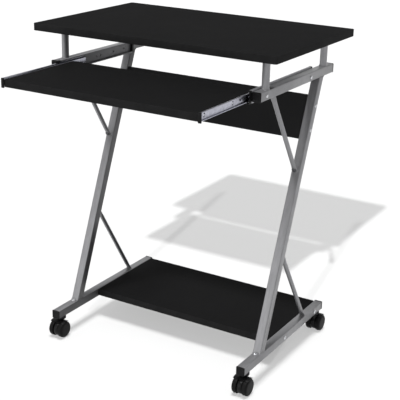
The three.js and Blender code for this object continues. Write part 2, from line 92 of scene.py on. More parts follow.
class NodeBench:
    """Lays out one material's nodes round a principled shader."""

    NOISE_EDGE = 0.3
    MIX_INPUTS = (0, 6, 7)
    MIX_RESULT = 2

    def __init__(self, name: str, **values: float) -> None:
        """Start a material.

        Args:
            name: The material's name.
            values: Plain values for the shader's own inputs.
        """
        self.material = bpy.data.materials.new(name)
        self.material.use_nodes = True
        self.tree = self.material.node_tree
        self.tree.nodes.clear()
        self.shader = fill(self.add("BsdfPrincipled"), **values)
        self.add("OutputMaterial", Surface=self.shader.outputs["BSDF"])
        self.place = self.add("TexCoord")

    def add(self, kind: str, **sources: Socket) -> bpy.types.Node:
        """Add a shader node.

        Args:
            kind: The node's kind.
            sources: What is linked to each named input.

        Returns:
            The node.
        """
        node = self.tree.nodes.new(f"ShaderNode{kind}")
        for socket, source in sources.items():
            self.tree.links.new(source, node.inputs[socket])
        return node

    def calculate(self, kind: str, operation: str, *sources: Socket) -> bpy.types.Node:
        """Add a node of sums.

        Args:
            kind: Math or VectorMath.
            operation: What it works out.
            sources: What is linked to its inputs, in order.

        Returns:
            The node.
        """
        node = self.add(kind)
        node.operation = operation
        for source, socket in zip(sources, node.inputs):
            self.tree.links.new(source, socket)
        return node

    def noise(
        self, scale: float, detail: float, rough: float, stretch: Colour = (1.0, 1.0, 1.0)
    ) -> Socket:
        """Add a noise texture that follows the piece.

        Args:
            scale: Cells to a metre.
            detail: Octaves.
            rough: How strong the fine octaves are.
            stretch: Scale along each axis before the noise.

        Returns:
            The noise's factor.
        """
        mapping = fill(self.add("Mapping", Vector=self.place.outputs["Object"]), Scale=stretch)
        node = self.add("TexNoise", Vector=mapping.outputs["Vector"])
        return fill(node, Scale=scale, Detail=detail, Roughness=rough).outputs["Fac"]

    def tone(
        self, source: Socket, colour: Colour, shades: Point2, at: Point2 = (0.3, 0.7)
    ) -> Socket:
        """Vary a colour between two shades of itself.

        Args:
            source: The factor that it varies with.
            colour: The colour.
            shades: The two shades, as shares of the colour.
            at: The factor at each of them.

        Returns:
            The varied colour.
        """
        node = self.add("ValToRGB", Fac=source)
        for point, position, share in zip(node.color_ramp.elements, at, shades):
            point.position = position
            point.color = (*(channel * share for channel in colour), 1.0)
        return node.outputs["Color"]

    def span(self, source: Socket, low: float, high: float) -> Socket:
        """Map the middle of a noise's range to low..high and clamp it.

        Args:
            source: The noise.
            low: Result at the dark end.
            high: Result at the bright end.

        Returns:
            The mapped value.
        """
        node = self.add("MapRange", Value=source)
        fill(node, From_Min=self.NOISE_EDGE, From_Max=1.0 - self.NOISE_EDGE, To_Min=low, To_Max=high)
        return node.outputs["Result"]

    def mix(self, factor: Socket, first: Socket, second: Socket) -> Socket:
        """Blend two colours.

        Args:
            factor: The second colour's share.
            first: The first colour.
            second: The second colour.

        Returns:
            The blend.
        """
        node = self.add("Mix")
        node.data_type = "RGBA"
        for source, index in zip((factor, first, second), self.MIX_INPUTS):
            self.tree.links.new(source, node.inputs[index])
        return node.outputs[self.MIX_RESULT]

    def inward(self, start: float, full: float) -> Socket:
        """Tell which faces look in across the desk, towards its middle plane, where the powder coat gets
        painted shade.

        Args:
            start: Distance from the middle plane, in metres, at which it begins.
            full: Distance at which it is complete.

        Returns:
            0 for every other face and 1 for an inward one.
        """
        normal = self.add("NewGeometry").outputs["Normal"]
        parts = [self.add("SeparateXYZ", Vector=v) for v in (normal, self.place.outputs["Object"])]
        product = self.calculate("Math", "MULTIPLY", *(part.outputs["X"] for part in parts))
        level = self.add("MapRange", Value=product.outputs["Value"])
        return fill(level, From_Min=-start, From_Max=-full).outputs["Result"]

    def coat(
        self, colour: Socket, rough: Socket, *bumps: tuple[Socket, float, float]
    ) -> bpy.types.Material:
        """Link the textures to the shader.

        Args:
            colour: The base colour.
            rough: The roughness.
            bumps: For each bump its height source, strength and depth in metres.

        Returns:
            The material.
        """
        self.tree.links.new(colour, self.shader.inputs["Base Color"])
        self.tree.links.new(rough, self.shader.inputs["Roughness"])
        below: dict[str, Socket] = {}
        for source, strength, depth in bumps:
            node = fill(self.add("Bump", Height=source, **below), Strength=strength, Distance=depth)
            below = {"Normal": node.outputs["Normal"]}
        self.tree.links.new(below["Normal"], self.shader.inputs["Normal"])
        return self.material


@dataclass(frozen=True)
class BoardFace:
    """Charcoal melamine paper pressed with a fine dry grain."""

    name: str = "board_melamine"
    colour: Colour = (0.0110, 0.0110, 0.0113)
    roughness: float = 0.7
    grain_scale: float = 900.0
    grain_depth: float = 0.00006

    def make(self) -> bpy.types.Material:
        """Build the material.

        Returns:
            The material.
        """
        bench = NodeBench(self.name, Specular_IOR_Level=0.007)
        cloud = bench.noise(7.0, 5.0, 0.6)
        fibre = bench.noise(self.grain_scale, 3.0, 0.6, (1.0, 0.18, 1.0))
        speck = bench.noise(2600.0, 2.0, 0.5)
        base = bench.tone(cloud, self.colour, (0.86, 1.12))
        fine = bench.tone(fibre, self.colour, (0.72, 1.3), (0.35, 0.68))
        return bench.coat(
            bench.mix(bench.span(speck, 0.15, 0.6), base, fine),
            bench.span(cloud, self.roughness - 0.05, self.roughness + 0.07),
            (fibre, 0.35, self.grain_depth),
            (speck, 0.25, self.grain_depth * 0.6),
        )


@dataclass(frozen=True)
class EdgeBand:
    """Thin plastic band glued round a board's edge, a little smoother than its face."""

    name: str = "board_edge_band"
    colour: Colour = (0.0150, 0.0150, 0.0153)
    roughness: float = 0.6

    def make(self) -> bpy.types.Material:
        """Build the material.

        Returns:
            The material.
        """
        bench = NodeBench(self.name, Specular_IOR_Level=0.015)
        drift = bench.noise(30.0, 4.0, 0.6)
        peel = bench.noise(1400.0, 2.0, 0.5)
        return bench.coat(
            bench.tone(drift, self.colour, (0.85, 1.18)),
            bench.span(peel, self.roughness - 0.05, self.roughness + 0.08),
            (peel, 0.25, 0.00004),
        )


@dataclass(frozen=True)
class PowderCoat:
    """Satin silver-grey powder coat on steel, with painted shade on the faces that look in across the
    desk.
    """

    name: str = "frame_powder_coat"
    colour: Colour = (0.225, 0.225, 0.233)
    roughness: float = 0.35
    metallic: float = 0.5
    # Distances from the middle plane over which the painted shade on inward faces fades in.
    inward_from: float = 0.1
    inward_full: float = 0.2

    def make(self) -> bpy.types.Material:
        """Build the material.

        Returns:
            The material.
        """
        bench = NodeBench(self.name, Metallic=self.metallic, Specular_IOR_Level=0.45)
        drift = bench.noise(26.0, 4.0, 0.6, (6.0, 1.0, 1.0))
        flake = bench.noise(5200.0, 2.0, 0.6)
        peel = bench.noise(1100.0, 2.0, 0.45)
        body = bench.tone(drift, self.colour, (0.84, 1.12), (0.32, 0.68))
        glint = bench.tone(flake, self.colour, (0.8, 1.3), (0.4, 0.66))
        # Painted shade: the inward faces, which lie in the desk's shade, darkened to about a third of the
        # colour.
        painted_shade = bench.tone(drift, self.colour, (0.3, 0.38), (0.32, 0.68))
        lit = bench.mix(bench.span(flake, 0.2, 0.45), body, glint)
        return bench.coat(
            bench.mix(bench.inward(self.inward_from, self.inward_full), lit, painted_shade),
            bench.span(peel, self.roughness - 0.04, self.roughness + 0.08),
            (peel, 0.3, 0.00005),
            (flake, 0.1, 0.00002),
        )


@dataclass(frozen=True)
class ZincPlate:
    """Bluish zinc plating over rolled strip, with the rolling lines along the strip."""

    name: str = "slide_zinc_plate"
    colour: Colour = (0.40, 0.405, 0.465)
    roughness: float = 0.25

    def make(self) -> bpy.types.Material:
        """Build the material.

        Returns:
            The material.
        """
        bench = NodeBench(self.name, Metallic=1.0)
        lines = bench.noise(900.0, 3.0, 0.6, (1.0, 0.02, 1.0))
        spangle = bench.noise(160.0, 3.0, 0.5)
        return bench.coat(
            bench.tone(spangle, self.colour, (0.84, 1.12), (0.35, 0.65)),
            bench.span(lines, self.roughness - 0.06, self.roughness + 0.12),
            (lines, 0.2, 0.00004),
            (spangle, 0.1, 0.00004),
        )


@dataclass(frozen=True)
class BoltSteel:
    """Bright plated steel of a bolt, pin or ball."""

    name: str = "bolt_plated_steel"
    colour: Colour = (0.66, 0.67, 0.69)
    roughness: float = 0.24

    def make(self) -> bpy.types.Material:
        """Build the material.

        Returns:
            The material.
        """
        bench = NodeBench(self.name, Metallic=1.0)
        smear = bench.noise(420.0, 4.0, 0.6)
        return bench.coat(
            bench.tone(smear, self.colour, (0.82, 1.1)),
            bench.span(smear, self.roughness - 0.05, self.roughness + 0.14),
            (smear, 0.12, 0.00003),
        )


@dataclass(frozen=True)
class MouldedPlastic:
    """Black moulded plastic with a fine spark-eroded texture."""

    name: str
    colour: Colour = (0.0055, 0.0055, 0.0058)
    roughness: float = 0.46
    specular: float = 0.12

    def make(self) -> bpy.types.Material:
        """Build the material.

        Returns:
            The material.
        """
        bench = NodeBench(self.name, Specular_IOR_Level=self.specular)
        drift = bench.noise(60.0, 3.0, 0.55)
        spark = bench.noise(2400.0, 2.0, 0.55)
        return bench.coat(
            bench.tone(drift, self.colour, (0.8, 1.3)),
            bench.span(spark, self.roughness - 0.06, self.roughness + 0.1),
            (spark, 0.3, 0.00004),
        )


@dataclass(frozen=True)
class WheelNylon:
    """Black nylon wheel whose rim has picked up a little grey dust."""

    name: str = "wheel_nylon"
    colour: Colour = (0.0048, 0.0048, 0.005)
    dust: Colour = (0.0105, 0.0102, 0.01)
    roughness: float = 0.44
    dusty_from: float = 0.455
    dusty_share: float = 0.7

    def rim(self, bench: NodeBench) -> Socket:
        """Tell how near a point is to the wheel's rim.

        Args:
            bench: The material's bench.

        Returns:
            The dust's share there.
        """
        centre = bench.calculate("VectorMath", "SUBTRACT", bench.place.outputs["Generated"])
        centre.inputs[1].default_value = (0.5, 0.5, 0.5)
        flat = bench.calculate("VectorMath", "MULTIPLY", centre.outputs["Vector"])
        flat.inputs[1].default_value = (0.0, 1.0, 1.0)
        reach = bench.calculate("VectorMath", "LENGTH", flat.outputs["Vector"])
        rim = bench.add("MapRange", Value=reach.outputs["Value"])
        fill(rim, From_Min=self.dusty_from, From_Max=0.5, To_Max=self.dusty_share)
        return rim.outputs["Result"]

    def make(self) -> bpy.types.Material:
        """Build the material.

        Returns:
            The material.
        """
        bench = NodeBench(self.name, Specular_IOR_Level=0.09)
        rim = self.rim(bench)
        patch = bench.noise(520.0, 5.0, 0.65)
        scuff = bench.calculate("Math", "MULTIPLY", rim, bench.span(patch, 0.0, 1.0))
        body = bench.tone(patch, self.colour, (0.85, 1.2))
        dust = bench.tone(patch, self.dust, (0.8, 1.0))
        return bench.coat(
            bench.mix(scuff.outputs["Value"], body, dust),
            bench.span(patch, self.roughness - 0.04, self.roughness + 0.12),
            (patch, 0.2, 0.00004),
        )


@dataclass(frozen=True)
class FloorPaint:
    """Plain pale studio floor."""

    name: str = "studio_floor"
    colour: Colour = (0.34, 0.34, 0.34)

    def make(self) -> bpy.types.Material:
        """Build the material.

        Returns:
            The material.
        """
        bench = NodeBench(self.name, Roughness=0.9, Specular_IOR_Level=0.0)
        tone = bench.tone(bench.noise(1.5, 2.0, 0.5), self.colour, (0.995, 1.0), (0.0, 1.0))
        bench.tree.links.new(tone, bench.shader.inputs["Base Color"])
        return bench.material


class Finish(Enum):
    """Every finish on the desk, by the maker's name for it."""

    BOARD = BoardFace()
    BAND = EdgeBand()
    FRAME = PowderCoat()
    ZINC = ZincPlate()
    DARK_BOLT = PowderCoat("dark_bolt_zinc", (0.07, 0.07, 0.075), 0.4, 0.4)
    CHANNEL = PowderCoat("slide_channel_steel", (0.25, 0.25, 0.265), 0.4, 0.35)
    BOLT = BoltSteel()
    CAP = MouldedPlastic("end_cap_plastic")
    HOOD = MouldedPlastic("caster_hood_plastic", roughness=0.34, specular=0.16)
    DARK_STEEL = BoltSteel("caster_black_steel", (0.03, 0.03, 0.032), 0.34)
    WHEEL = WheelNylon()
    FLOOR = FloorPaint()


@cache
def material(finish: Finish) -> bpy.types.Material:
    """Return a finish's material, made the first time it is asked for."""
    return finish.value.make()


class Slot(Enum):
    """The record's material slots."""

    BOARD = "board"
    FRAME = "frame_paint"
    ZINC = "slide_zinc"
    BOLT = "bolt_steel"
    CAP = "cap_plastic"
    HOOD = "caster_plastic"
    WHEEL = "caster_wheel"
    STEM = "caster_steel"


# ---- Mesh making ----


def rounded_rectangle(width: float, height: float, radius: float, steps: int = 5) -> list[Point2]:
    """Outline of a rectangle with rounded corners, anticlockwise about its centre.

    Args:
        width: Full width.
        height: Full height.
        radius: Corner radius.
        steps: Segments in each corner.

    Returns:
        The outline's points.
    """
    points: list[Point2] = []
    a, b = width / 2 - radius, height / 2 - radius
    for quarter, (sa, sb) in enumerate(FAR_CORNERS):
        for step in range(steps + 1):
            angle = (quarter + step / steps) * pi / 2
            points.append((sa * a + radius * cos(angle), sb * b + radius * sin(angle)))
    return points


def from_point(x: float, y: float, *steps: Point2) -> list[Point2]:
    """Points given in millimetres from a point given in metres."""
    return [(x + a * MM, y + b * MM) for a, b in steps]


def full_turn(steps: int) -> list[float]:
    """Angles of equal steps round a full turn."""
    return [2 * pi * i / steps for i in range(steps)]


def blocks(mid: Vector, stations: Sequence[tuple[float, float, float, float]]) -> list[Ring]:
    """Rounded rectangles across X and Z, one after another along Y.

    Args:
        mid: The middle of them all.
        stations: Width, height, corner radius and Y of each.

    Returns:
        The rings.
    """
    return [
        [Vector((mid.x + a, y, mid.z + b)) for a, b in rounded_rectangle(wide, high, radius, 4)]
        for wide, high, radius, y in stations
    ]


# Radius that stands for 0, so that a turned piece's ends stay rings, and how near two
# vertices are joined into one.
POINT_RADIUS = 1e-6
WELD_DISTANCE = 4e-6


class Form:
    """Vertices and faces gathered for one piece."""

    def __init__(self) -> None:
        """Start empty."""
        self.verts: list[Vector] = []
        self.faces: list[list[int]] = []

    def loft(self, rings: Sequence[Ring], capped: bool = True, joined: bool = False) -> "Form":
        """Skin a run of rings that all have the same number of points.

        Args:
            rings: The rings, in order.
            capped: Close the first and the last ring with a face.
            joined: Join the last ring back to the first instead.

        Returns:
            The form itself.
        """
        start, count = len(self.verts), len(rings[0])
        for ring in rings:
            self.verts.extend(ring)
        runs = len(rings) if joined else len(rings) - 1
        for run in range(runs):
            low = start + run * count
            high = start + ((run + 1) % len(rings)) * count
            for i in range(count):
                j = (i + 1) % count
                self.faces.append([low + i, low + j, high + j, high + i])
        if capped and not joined:
            self.faces.append([start + i for i in reversed(range(count))])
            last = start + (len(rings) - 1) * count
            self.faces.append([last + i for i in range(count)])
        return self

    def turn(
        self,
        profile: Sequence[Point2],
        origin: Vector,
        axis: Vector = Z,
        steps: int = 32,
        joined: bool = False,
    ) -> "Form":
        """Turn a profile of (radius, height) pairs about an axis.

        Args:
            profile: The profile; a radius of 0 closes the end.
            origin: Where height 0 is.
            axis: Direction of height.
            steps: Segments round.
            joined: Close the profile on itself, for a ring.

        Returns:
            The form itself.
        """
        axis = axis.normalized()
        side = axis.orthogonal().normalized()
        other = axis.cross(side)
        spokes = [side * cos(turn) + other * sin(turn) for turn in full_turn(steps)]
        rings = [
            [origin + axis * height + spoke * max(radius, POINT_RADIUS) for spoke in spokes]
            for radius, height in profile
        ]
        return self.loft(rings, capped=not joined, joined=joined)

    def strip(self, left: Sequence[Ring], right: Sequence[Ring]) -> "Form":
        """Skin a bent sheet given its two skins at each station along it.

        Args:
            left: One skin's line of points at each station.
            right: The other skin's, point for point.

        Returns:
            The form itself.
        """
        start, count, stations = len(self.verts), len(left[0]), len(left)
        for a, b in zip(left, right):
            self.verts.extend(a)
            self.verts.extend(b)
        step = 2 * count
        for run in range(stations - 1):
            low, high = start + run * step, start + (run + 1) * step
            for i in range(count - 1):
                self.faces.append([low + i, high + i, high + i + 1, low + i + 1])
                k = count + i
                self.faces.append([low + k, low + k + 1, high + k + 1, high + k])
            self.faces.append([low, low + count, high + count, high])
            end = count - 1
            self.faces.append([low + end, high + end, high + count + end, low + count + end])
        last = start + (stations - 1) * step
        for i in range(count - 1):
            self.faces.append([start + i, start + i + 1, start + count + i + 1, start + count + i])
            self.faces.append([last + i, last + count + i, last + count + i + 1, last + i + 1])
        return self

    def build(self, name: str, crease: float = 35.0) -> bpy.types.Object:
        """Make the object.

        Args:
            name: The piece's name.
            crease: Edges sharper than this many degrees stay hard.

        Returns:
            The new object.
        """
        mesh = bpy.data.meshes.new(name)
        mesh.from_pydata([tuple(v) for v in self.verts], [], self.faces)
        work = bmesh.new()
        work.from_mesh(mesh)
        bmesh.ops.remove_doubles(work, verts=work.verts, dist=WELD_DISTANCE)
        bmesh.ops.recalc_face_normals(work, faces=work.faces)
        work.to_mesh(mesh)
        work.free()
        made = bpy.data.objects.new(name, mesh)
        bpy.context.scene.collection.objects.link(made)
        soften(made, crease)
        return made


def soften(piece: bpy.types.Object, crease: float) -> None:
    """Shade a piece smooth and keep its edges sharper than crease degrees hard."""
    piece.data.shade_smooth()
    piece.data.set_sharp_from_angle(angle=radians(crease))


class Joinery(Enum):
    """How one solid acts on another."""

    CUT = "DIFFERENCE"
    ADD = "UNION"


def combine(
    piece: bpy.types.Object, others: Sequence[bpy.types.Object], how: Joinery, crease: float = 35.0
) -> bpy.types.Object:
    """Cut other solids from a piece, or add them to it, and remove them.

    Args:
        piece: The piece that stays.
        others: The solids that act on it.
        how: Cut or add.
        crease: Edges sharper than this many degrees stay hard.

    Returns:
        The piece.
    """
    for i, other in enumerate(others):
        step = piece.modifiers.new(f"step_{i}", "BOOLEAN")
        step.operation = how.value
        step.solver = "EXACT"
        step.object = other
    bpy.context.view_layer.update()
    graph = bpy.context.evaluated_depsgraph_get()
    mesh = bpy.data.meshes.new_from_object(piece.evaluated_get(graph))
    piece.modifiers.clear()
    piece.data = mesh
    for other in others:
        bpy.data.objects.remove(other)
    soften(piece, crease)
    return piece


def middle(node: str) -> Vector:
    """Middle of a CAD node's box."""
    low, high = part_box(node)
    return (low + high) / 2


@dataclass
class Workshop:
    """Puts finished pieces on the desk and reports them."""

    pieces: list[bpy.types.Object] = field(default_factory=list)

    def put(
        self,
        piece: bpy.types.Object,
        body: str,
        finish: Finish,
        slot: Slot,
        stands_for: Sequence[str] = (),
    ) -> bpy.types.Object:
        """Dress a piece, fix it to its body and log it.

        Args:
            piece: The piece, in place.
            body: The CAD body it moves with.
            finish: Its finish.
            slot: The record's slot for that finish; not used.
            stands_for: CAD nodes that it replaces.

        Returns:
            The piece.
        """
        piece.data.materials.clear()
        piece.data.materials.append(material(finish))
        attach(piece, body)
        if stands_for:
            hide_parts(*stands_for)
        self.pieces.append(piece)
        log.info("piece %-34s on %-16s %s", piece.name, body, finish.name.lower())
        return piece


SHOP = Workshop()


# ---- Fasteners ----


class Drive(Enum):
    """The recess in a screw's head."""

    CROSS = "cross"
    HEX = "hex"


@dataclass
class Screw:
    """A round-headed screw seen from outside, seated on a face."""

    radius: float = 4.2 * MM
    height: float = 2.2 * MM
    sunk: float = 1.0 * MM
    drive: Drive = Drive.CROSS
    edge_share: float = 0.12
    dome_steps: int = 6
    segments: int = 28
    crease: float = 40.0

    def head(self, name: str, seat: Vector, out: Vector) -> bpy.types.Object:
        """Build the head with its recess.

        Args:
            name: The piece's name.
            seat: Middle of the head's underside.
            out: Direction the head faces.

        Returns:
            The head.
        """
        r, h, shank = self.radius, self.height, self.radius * 0.5
        edge = h * self.edge_share
        profile: list[Point2] = [(0.0, -self.sunk), (shank, -self.sunk), (shank, 0.0)]
        profile += [(r * 0.96, 0.0), (r, edge)]
        for i in range(1, self.dome_steps + 1):
            a = i / self.dome_steps * pi / 2
            reach = r * cos(a) ** 0.7 if i < self.dome_steps else 0.0
            profile.append((reach, h * (self.edge_share + (1 - self.edge_share) * sin(a))))
        head = Form().turn(profile, seat, out, self.segments).build(name, self.crease)
        cutters = self.recess(seat + out.normalized() * h, out)
        return combine(head, cutters, Joinery.CUT, self.crease)

    def recess(self, top: Vector, out: Vector) -> list[bpy.types.Object]:
        """Solids that cut the drive into the head.

        Args:
            top: Middle of the head's top.
            out: Direction the head faces.

        Returns:
            The cutting solids.
        """
        out = out.normalized()
        side = out.orthogonal().normalized()
        other = out.cross(side)
        if self.drive is Drive.HEX:
            across, deep = self.radius * 0.42, self.height * 0.6
            profile = [(0.0, -deep), (across, -deep), (across, 1 * MM), (0.0, 1 * MM)]
            return [Form().turn(profile, top, out, 6).build("hex_cut")]
        made = []
        long, wide, deep = self.radius * 0.55, self.radius * 0.11, self.height * 0.62
        narrow, thin = long * 0.45, wide * 0.8
        for a, b in ((side, other), (other, side)):
            low = [top - out * deep + a * (narrow * s) + b * (thin * t) for s, t in FAR_CORNERS]
            high = [top + out * 1 * MM + a * (long * s) + b * (wide * t) for s, t in FAR_CORNERS]
            made.append(Form().loft([low, high]).build("cross_cut"))
        return made


@dataclass
class Bead:
    """A rippled weld bead along a closed path."""

    radius: float = 1.5 * MM
    ripple: float = 0.16
    pitch: float = 2.4 * MM
    steps: int = 8

    def run(self, form: Form, path: Sequence[Vector], centre: Vector, up: Vector) -> None:
        """Add the bead to a form.

        Args:
            form: The form that receives it.
            path: The closed path's corners.
            centre: Middle of the path; the bead swells away from it.
            up: Direction across the path.
        """
        points: list[Vector] = []
        for i, start in enumerate(path):
            end = path[(i + 1) % len(path)]
            count = max(1, round((end - start).length / (self.pitch / 4)))
            points.extend(start.lerp(end, k / count) for k in range(count))
        rings, travelled = [], 0.0
        for i, at in enumerate(points):
            ahead, behind = points[(i + 1) % len(points)], points[i - 1]
            along = (ahead - behind).normalized()
            out = along.cross(up).normalized()
            if out.dot(at - centre) < 0:
                out = -out
            r = self.radius * (1 + self.ripple * sin(2 * pi * travelled / self.pitch))
            travelled += (ahead - at).length
            rings.append([at + (out * cos(a) + up * sin(a)) * r for a in full_turn(self.steps)])
        form.loft(rings, joined=True)


# ---- Side frames ----


class Side(Enum):
    """The desk's two sides, with the sign of X."""

    LEFT = -1
    RIGHT = 1

    @property
    def tag(self) -> str:
        """The side's word in node names."""
        return self.name.lower()


class End(Enum):
    """Front and back, with the sign of Y."""

    FRONT = -1
    BACK = 1

    @property
    def tag(self) -> str:
        """The end's word in node names."""
        return self.name.lower()


@dataclass(frozen=True)
class LegLine:
    """How a leg stands: heights of its foot and head, lean, depth along Y and foot's front."""

    foot: float
    head: float
    lean: float
    depth: float
    front: float

    def middle(self, z: float) -> float:
        """Middle of the leg along Y at a height."""
        return self.front + self.depth / 2 + self.lean * (z - self.foot)


@dataclass(frozen=True)
class BarShape:
    """A round bar pressed flat at its ends: half sizes, and where along it the press fades."""

    steps: int = 20
    radius: float = 5.0 * MM
    flat_wide: float = 7.0 * MM
    flat_thick: float = 2.0 * MM
    flat_length: float = 8 * MM
    fade_length: float = 20 * MM
    stations: tuple[float, ...] = (0.0, 0.022, 0.04, 0.055, 0.075, 0.095, 0.12, 0.145)

    def across(self, reach: float) -> Point2:
        """Half width and half thickness of the bar.

        Args:
            reach: Distance from the nearer end.

        Returns:
            The two half sizes.
        """
        fade = min(1.0, max(0.0, (reach - self.flat_length) / self.fade_length))
        fade = fade * fade * (3 - 2 * fade)
        wide = self.flat_wide + (self.radius - self.flat_wide) * fade
        return wide, self.flat_thick + (self.radius - self.flat_thick) * fade


@dataclass
class SideFrame:
    """One Z of square tube with its braces, posts, caps, bolts and welds."""

    side: Side
    wall: float = 1.2 * MM
    corner: float = 2.2 * MM
    ease: float = 0.35 * MM
    post_foot: float = 1.1 * MM
    cap_lip: float = 0.4 * MM
    panel_screw_rise: float = 26 * MM
    slide_screws: tuple[float, float] = (26 * MM, 235 * MM)
    brace_end: float = 12 * MM
    brace_bolt_at: float = 5 * MM
    cap_depth: float = 13.5 * MM
    weld_rise: float = 0.2 * MM
    weld_inset: float = 1.0 * MM

    @property
    def x(self) -> float:
        """Middle of the frame across the desk."""
        return middle(f"rail_{self.side.tag}").x

    @property
    def tube(self) -> float:
        """Outer size of the square tube."""
        low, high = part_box(f"rail_{self.side.tag}")
        return high.x - low.x

    def hollow(
        self, size: Point2, place: Callable[[float, float, float], Vector], span: Point2
    ) -> Form:
        """A square tube with eased rims.

        Args:
            size: Outer size across the tube both ways.
            place: Gives the point for two cross-tube measures and one along it.
            span: Start and end along the tube.

        Returns:
            The tube's form.
        """
        (w, h), (s, e), ease = size, span, self.ease
        outer = rounded_rectangle(w, h, self.corner)
        eased = rounded_rectangle(w - 2 * ease, h - 2 * ease, self.corner - ease)
        bore = self.corner - self.wall * 0.8
        inner = rounded_rectangle(w - 2 * self.wall, h - 2 * self.wall, bore)
        stations = [(eased, s), (outer, s + ease), (outer, e - ease), (eased, e), (inner, e), (inner, s)]
        rings = [[place(a, b, t) for a, b in outline] for outline, t in stations]
        return Form().loft(rings, joined=True)

    def paint(self, piece: bpy.types.Object, *nodes: str) -> None:
        """Put a piece of the painted frame that stands for the CAD nodes."""
        SHOP.put(piece, "frame", Finish.FRAME, Slot.FRAME, nodes)

    def lying(self, node: str) -> None:
        """Build a rail or a beam along Y.

        Args:
            node: The CAD tube that it stands for.
        """
        low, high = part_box(node)
        mid = (low + high) / 2
        form = self.hollow(
            (high.x - low.x, high.z - low.z),
            lambda a, b, t: Vector((mid.x + a, t, mid.z + b)),
            (low.y, high.y),
        )
        self.paint(form.build(f"{node}_tube", 50), node)

    def leg_line(self) -> LegLine:
        """Work out how the leg stands from its node's corners.

        Returns:
            The leg's line.
        """
        points = [v.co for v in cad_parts[f"leg_{self.side.tag}"].data.vertices]
        z0, z1 = min(p.z for p in points), max(p.z for p in points)
        level = 0.1 * MM
        foot = [p.y for p in points if p.z < z0 + level]
        head = [p.y for p in points if p.z > z1 - level]
        lean = (min(head) - min(foot)) / (z1 - z0)
        return LegLine(z0, z1, lean, max(foot) - min(foot), min(foot))

    def leg(self) -> None:
        """Build the inclined leg, its ends cut level, and the welds round its ends."""
        line, node = self.leg_line(), f"leg_{self.side.tag}"
        mid = line.front + line.depth / 2
        form = self.hollow(
            (self.tube, line.depth),
            lambda a, b, t: Vector((self.x + a, mid + b + line.lean * (t - line.foot), t)),
            (line.foot, line.head),
        )
        self.paint(form.build(f"{node}_tube", 50), node)
        welds, bead = Form(), Bead()
        half, deep = self.tube / 2 - self.weld_inset, line.depth / 2 + self.weld_rise
        for z, up in ((line.foot, self.weld_rise), (line.head, -self.weld_rise)):
            y = line.middle(z)
            path = [Vector((self.x + a * half, y + b * deep, z + up)) for a, b in NEAR_CORNERS]
            bead.run(welds, path, Vector((self.x, y, z)), Z)
        self.paint(welds.build(f"{node}_welds", 60))

    def brace(self, node: str) -> None:
        """Build a brace: a round bar whose two ends are pressed flat.

        Args:
            node: The CAD brace that it stands for.
        """
        points = [v.co.copy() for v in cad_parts[node].data.vertices]
        z0, z1 = min(p.z for p in points), max(p.z for p in points)
        low = [p for p in points if p.z < z0 + self.brace_end]
        high = [p for p in points if p.z > z1 - self.brace_end]
        first = sum(low, Vector()) / len(low)
        last = sum(high, Vector()) / len(high)
        along = (last - first).normalized()
        normal = X.cross(along)
        full = sorted(p.dot(along) for p in points)
        base = first - along * first.dot(along)
        start, run, shape = full[0], full[-1] - full[0], BarShape()
        shares = [*shape.stations, 0.5, *(1 - t for t in reversed(shape.stations))]
        rings = []
        for t in shares:
            u, v = shape.across(min(t, 1 - t) * run)
            at = base + along * (start + t * run)
            rings.append([at + X * (u * cos(a)) + normal * (v * sin(a)) for a in full_turn(shape.steps)])
        self.trim(rings[0], points, along, False)
        self.trim(rings[-1], points, along, True)
        self.paint(Form().loft(rings).build(f"{node}_bar", 45), node)
        if node.startswith("upper"):
            front = normal if normal.y < 0 else -normal
            seat = first + along * self.brace_bolt_at + front * shape.flat_thick
            head = Screw(6.0 * MM, 3.2 * MM).head(f"{node}_bolt", seat, front)
            SHOP.put(head, "frame", Finish.DARK_BOLT, Slot.BOLT)

    def trim(self, ring: Ring, points: Sequence[Vector], along: Vector, top: bool) -> None:
        """Slide a ring's points along the bar onto the CAD bar's cut end.

        The cut end is the plane through two of the end's corners that leaves the whole bar
        on one side.

        Args:
            ring: The ring, changed in place.
            points: The CAD bar's corners.
            along: The bar's direction.
            top: Whether it is the bar's upper end.
        """
        order = sorted(points, key=lambda p: p.dot(along), reverse=top)
        sign = 1 if top else -1
        outermost, near, shortest, widest = 10, 14, 2 * MM, 9 * MM
        best = None
        for a in order[:outermost]:
            for b in order[:near]:
                if (b - a).length < shortest or abs(b.x - a.x) > widest:
                    continue
                n = X.cross(b - a)
                if n.length < POINT_RADIUS * MM:
                    continue
                n.normalize()
                if n.dot(along) * sign < 0:
                    n = -n
                over = max((p - a).dot(n) for p in points)
                if best is None or over < best[0]:
                    best = (over, a, n)
        if best is None:
            return
        _, a, n = best
        for i, p in enumerate(ring):
            ring[i] = p + along * ((a - p).dot(n) / along.dot(n))

    def post(self, end: End) -> None:
        """Build a round post with a swaged foot.

        Args:
            end: Which of the side's two posts it is.
        """
        node = f"post_{self.side.tag}_{end.tag}"
        low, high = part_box(node)
        mid, r, h = (low + high) / 2, (high.x - low.x) / 2, high.z - low.z
        wall, flare = self.wall, self.post_foot
        foot = [(r + flare, 0.0), (r + flare, 0.9 * MM), (r + flare * 0.3, 1.9 * MM), (r, 3.2 * MM)]
        head = [(r, h - 2.4 * MM), (r + flare * 0.4, h - 1.2 * MM), (r + flare * 0.5, h)]
        profile = [(r - wall, 0.0), *foot, *head, (r - wall, h)]
        form = Form().turn(profile, Vector((mid.x, mid.y, low.z)), Z, 40, joined=True)
        self.paint(form.build(f"{node}_tube", 40), node)

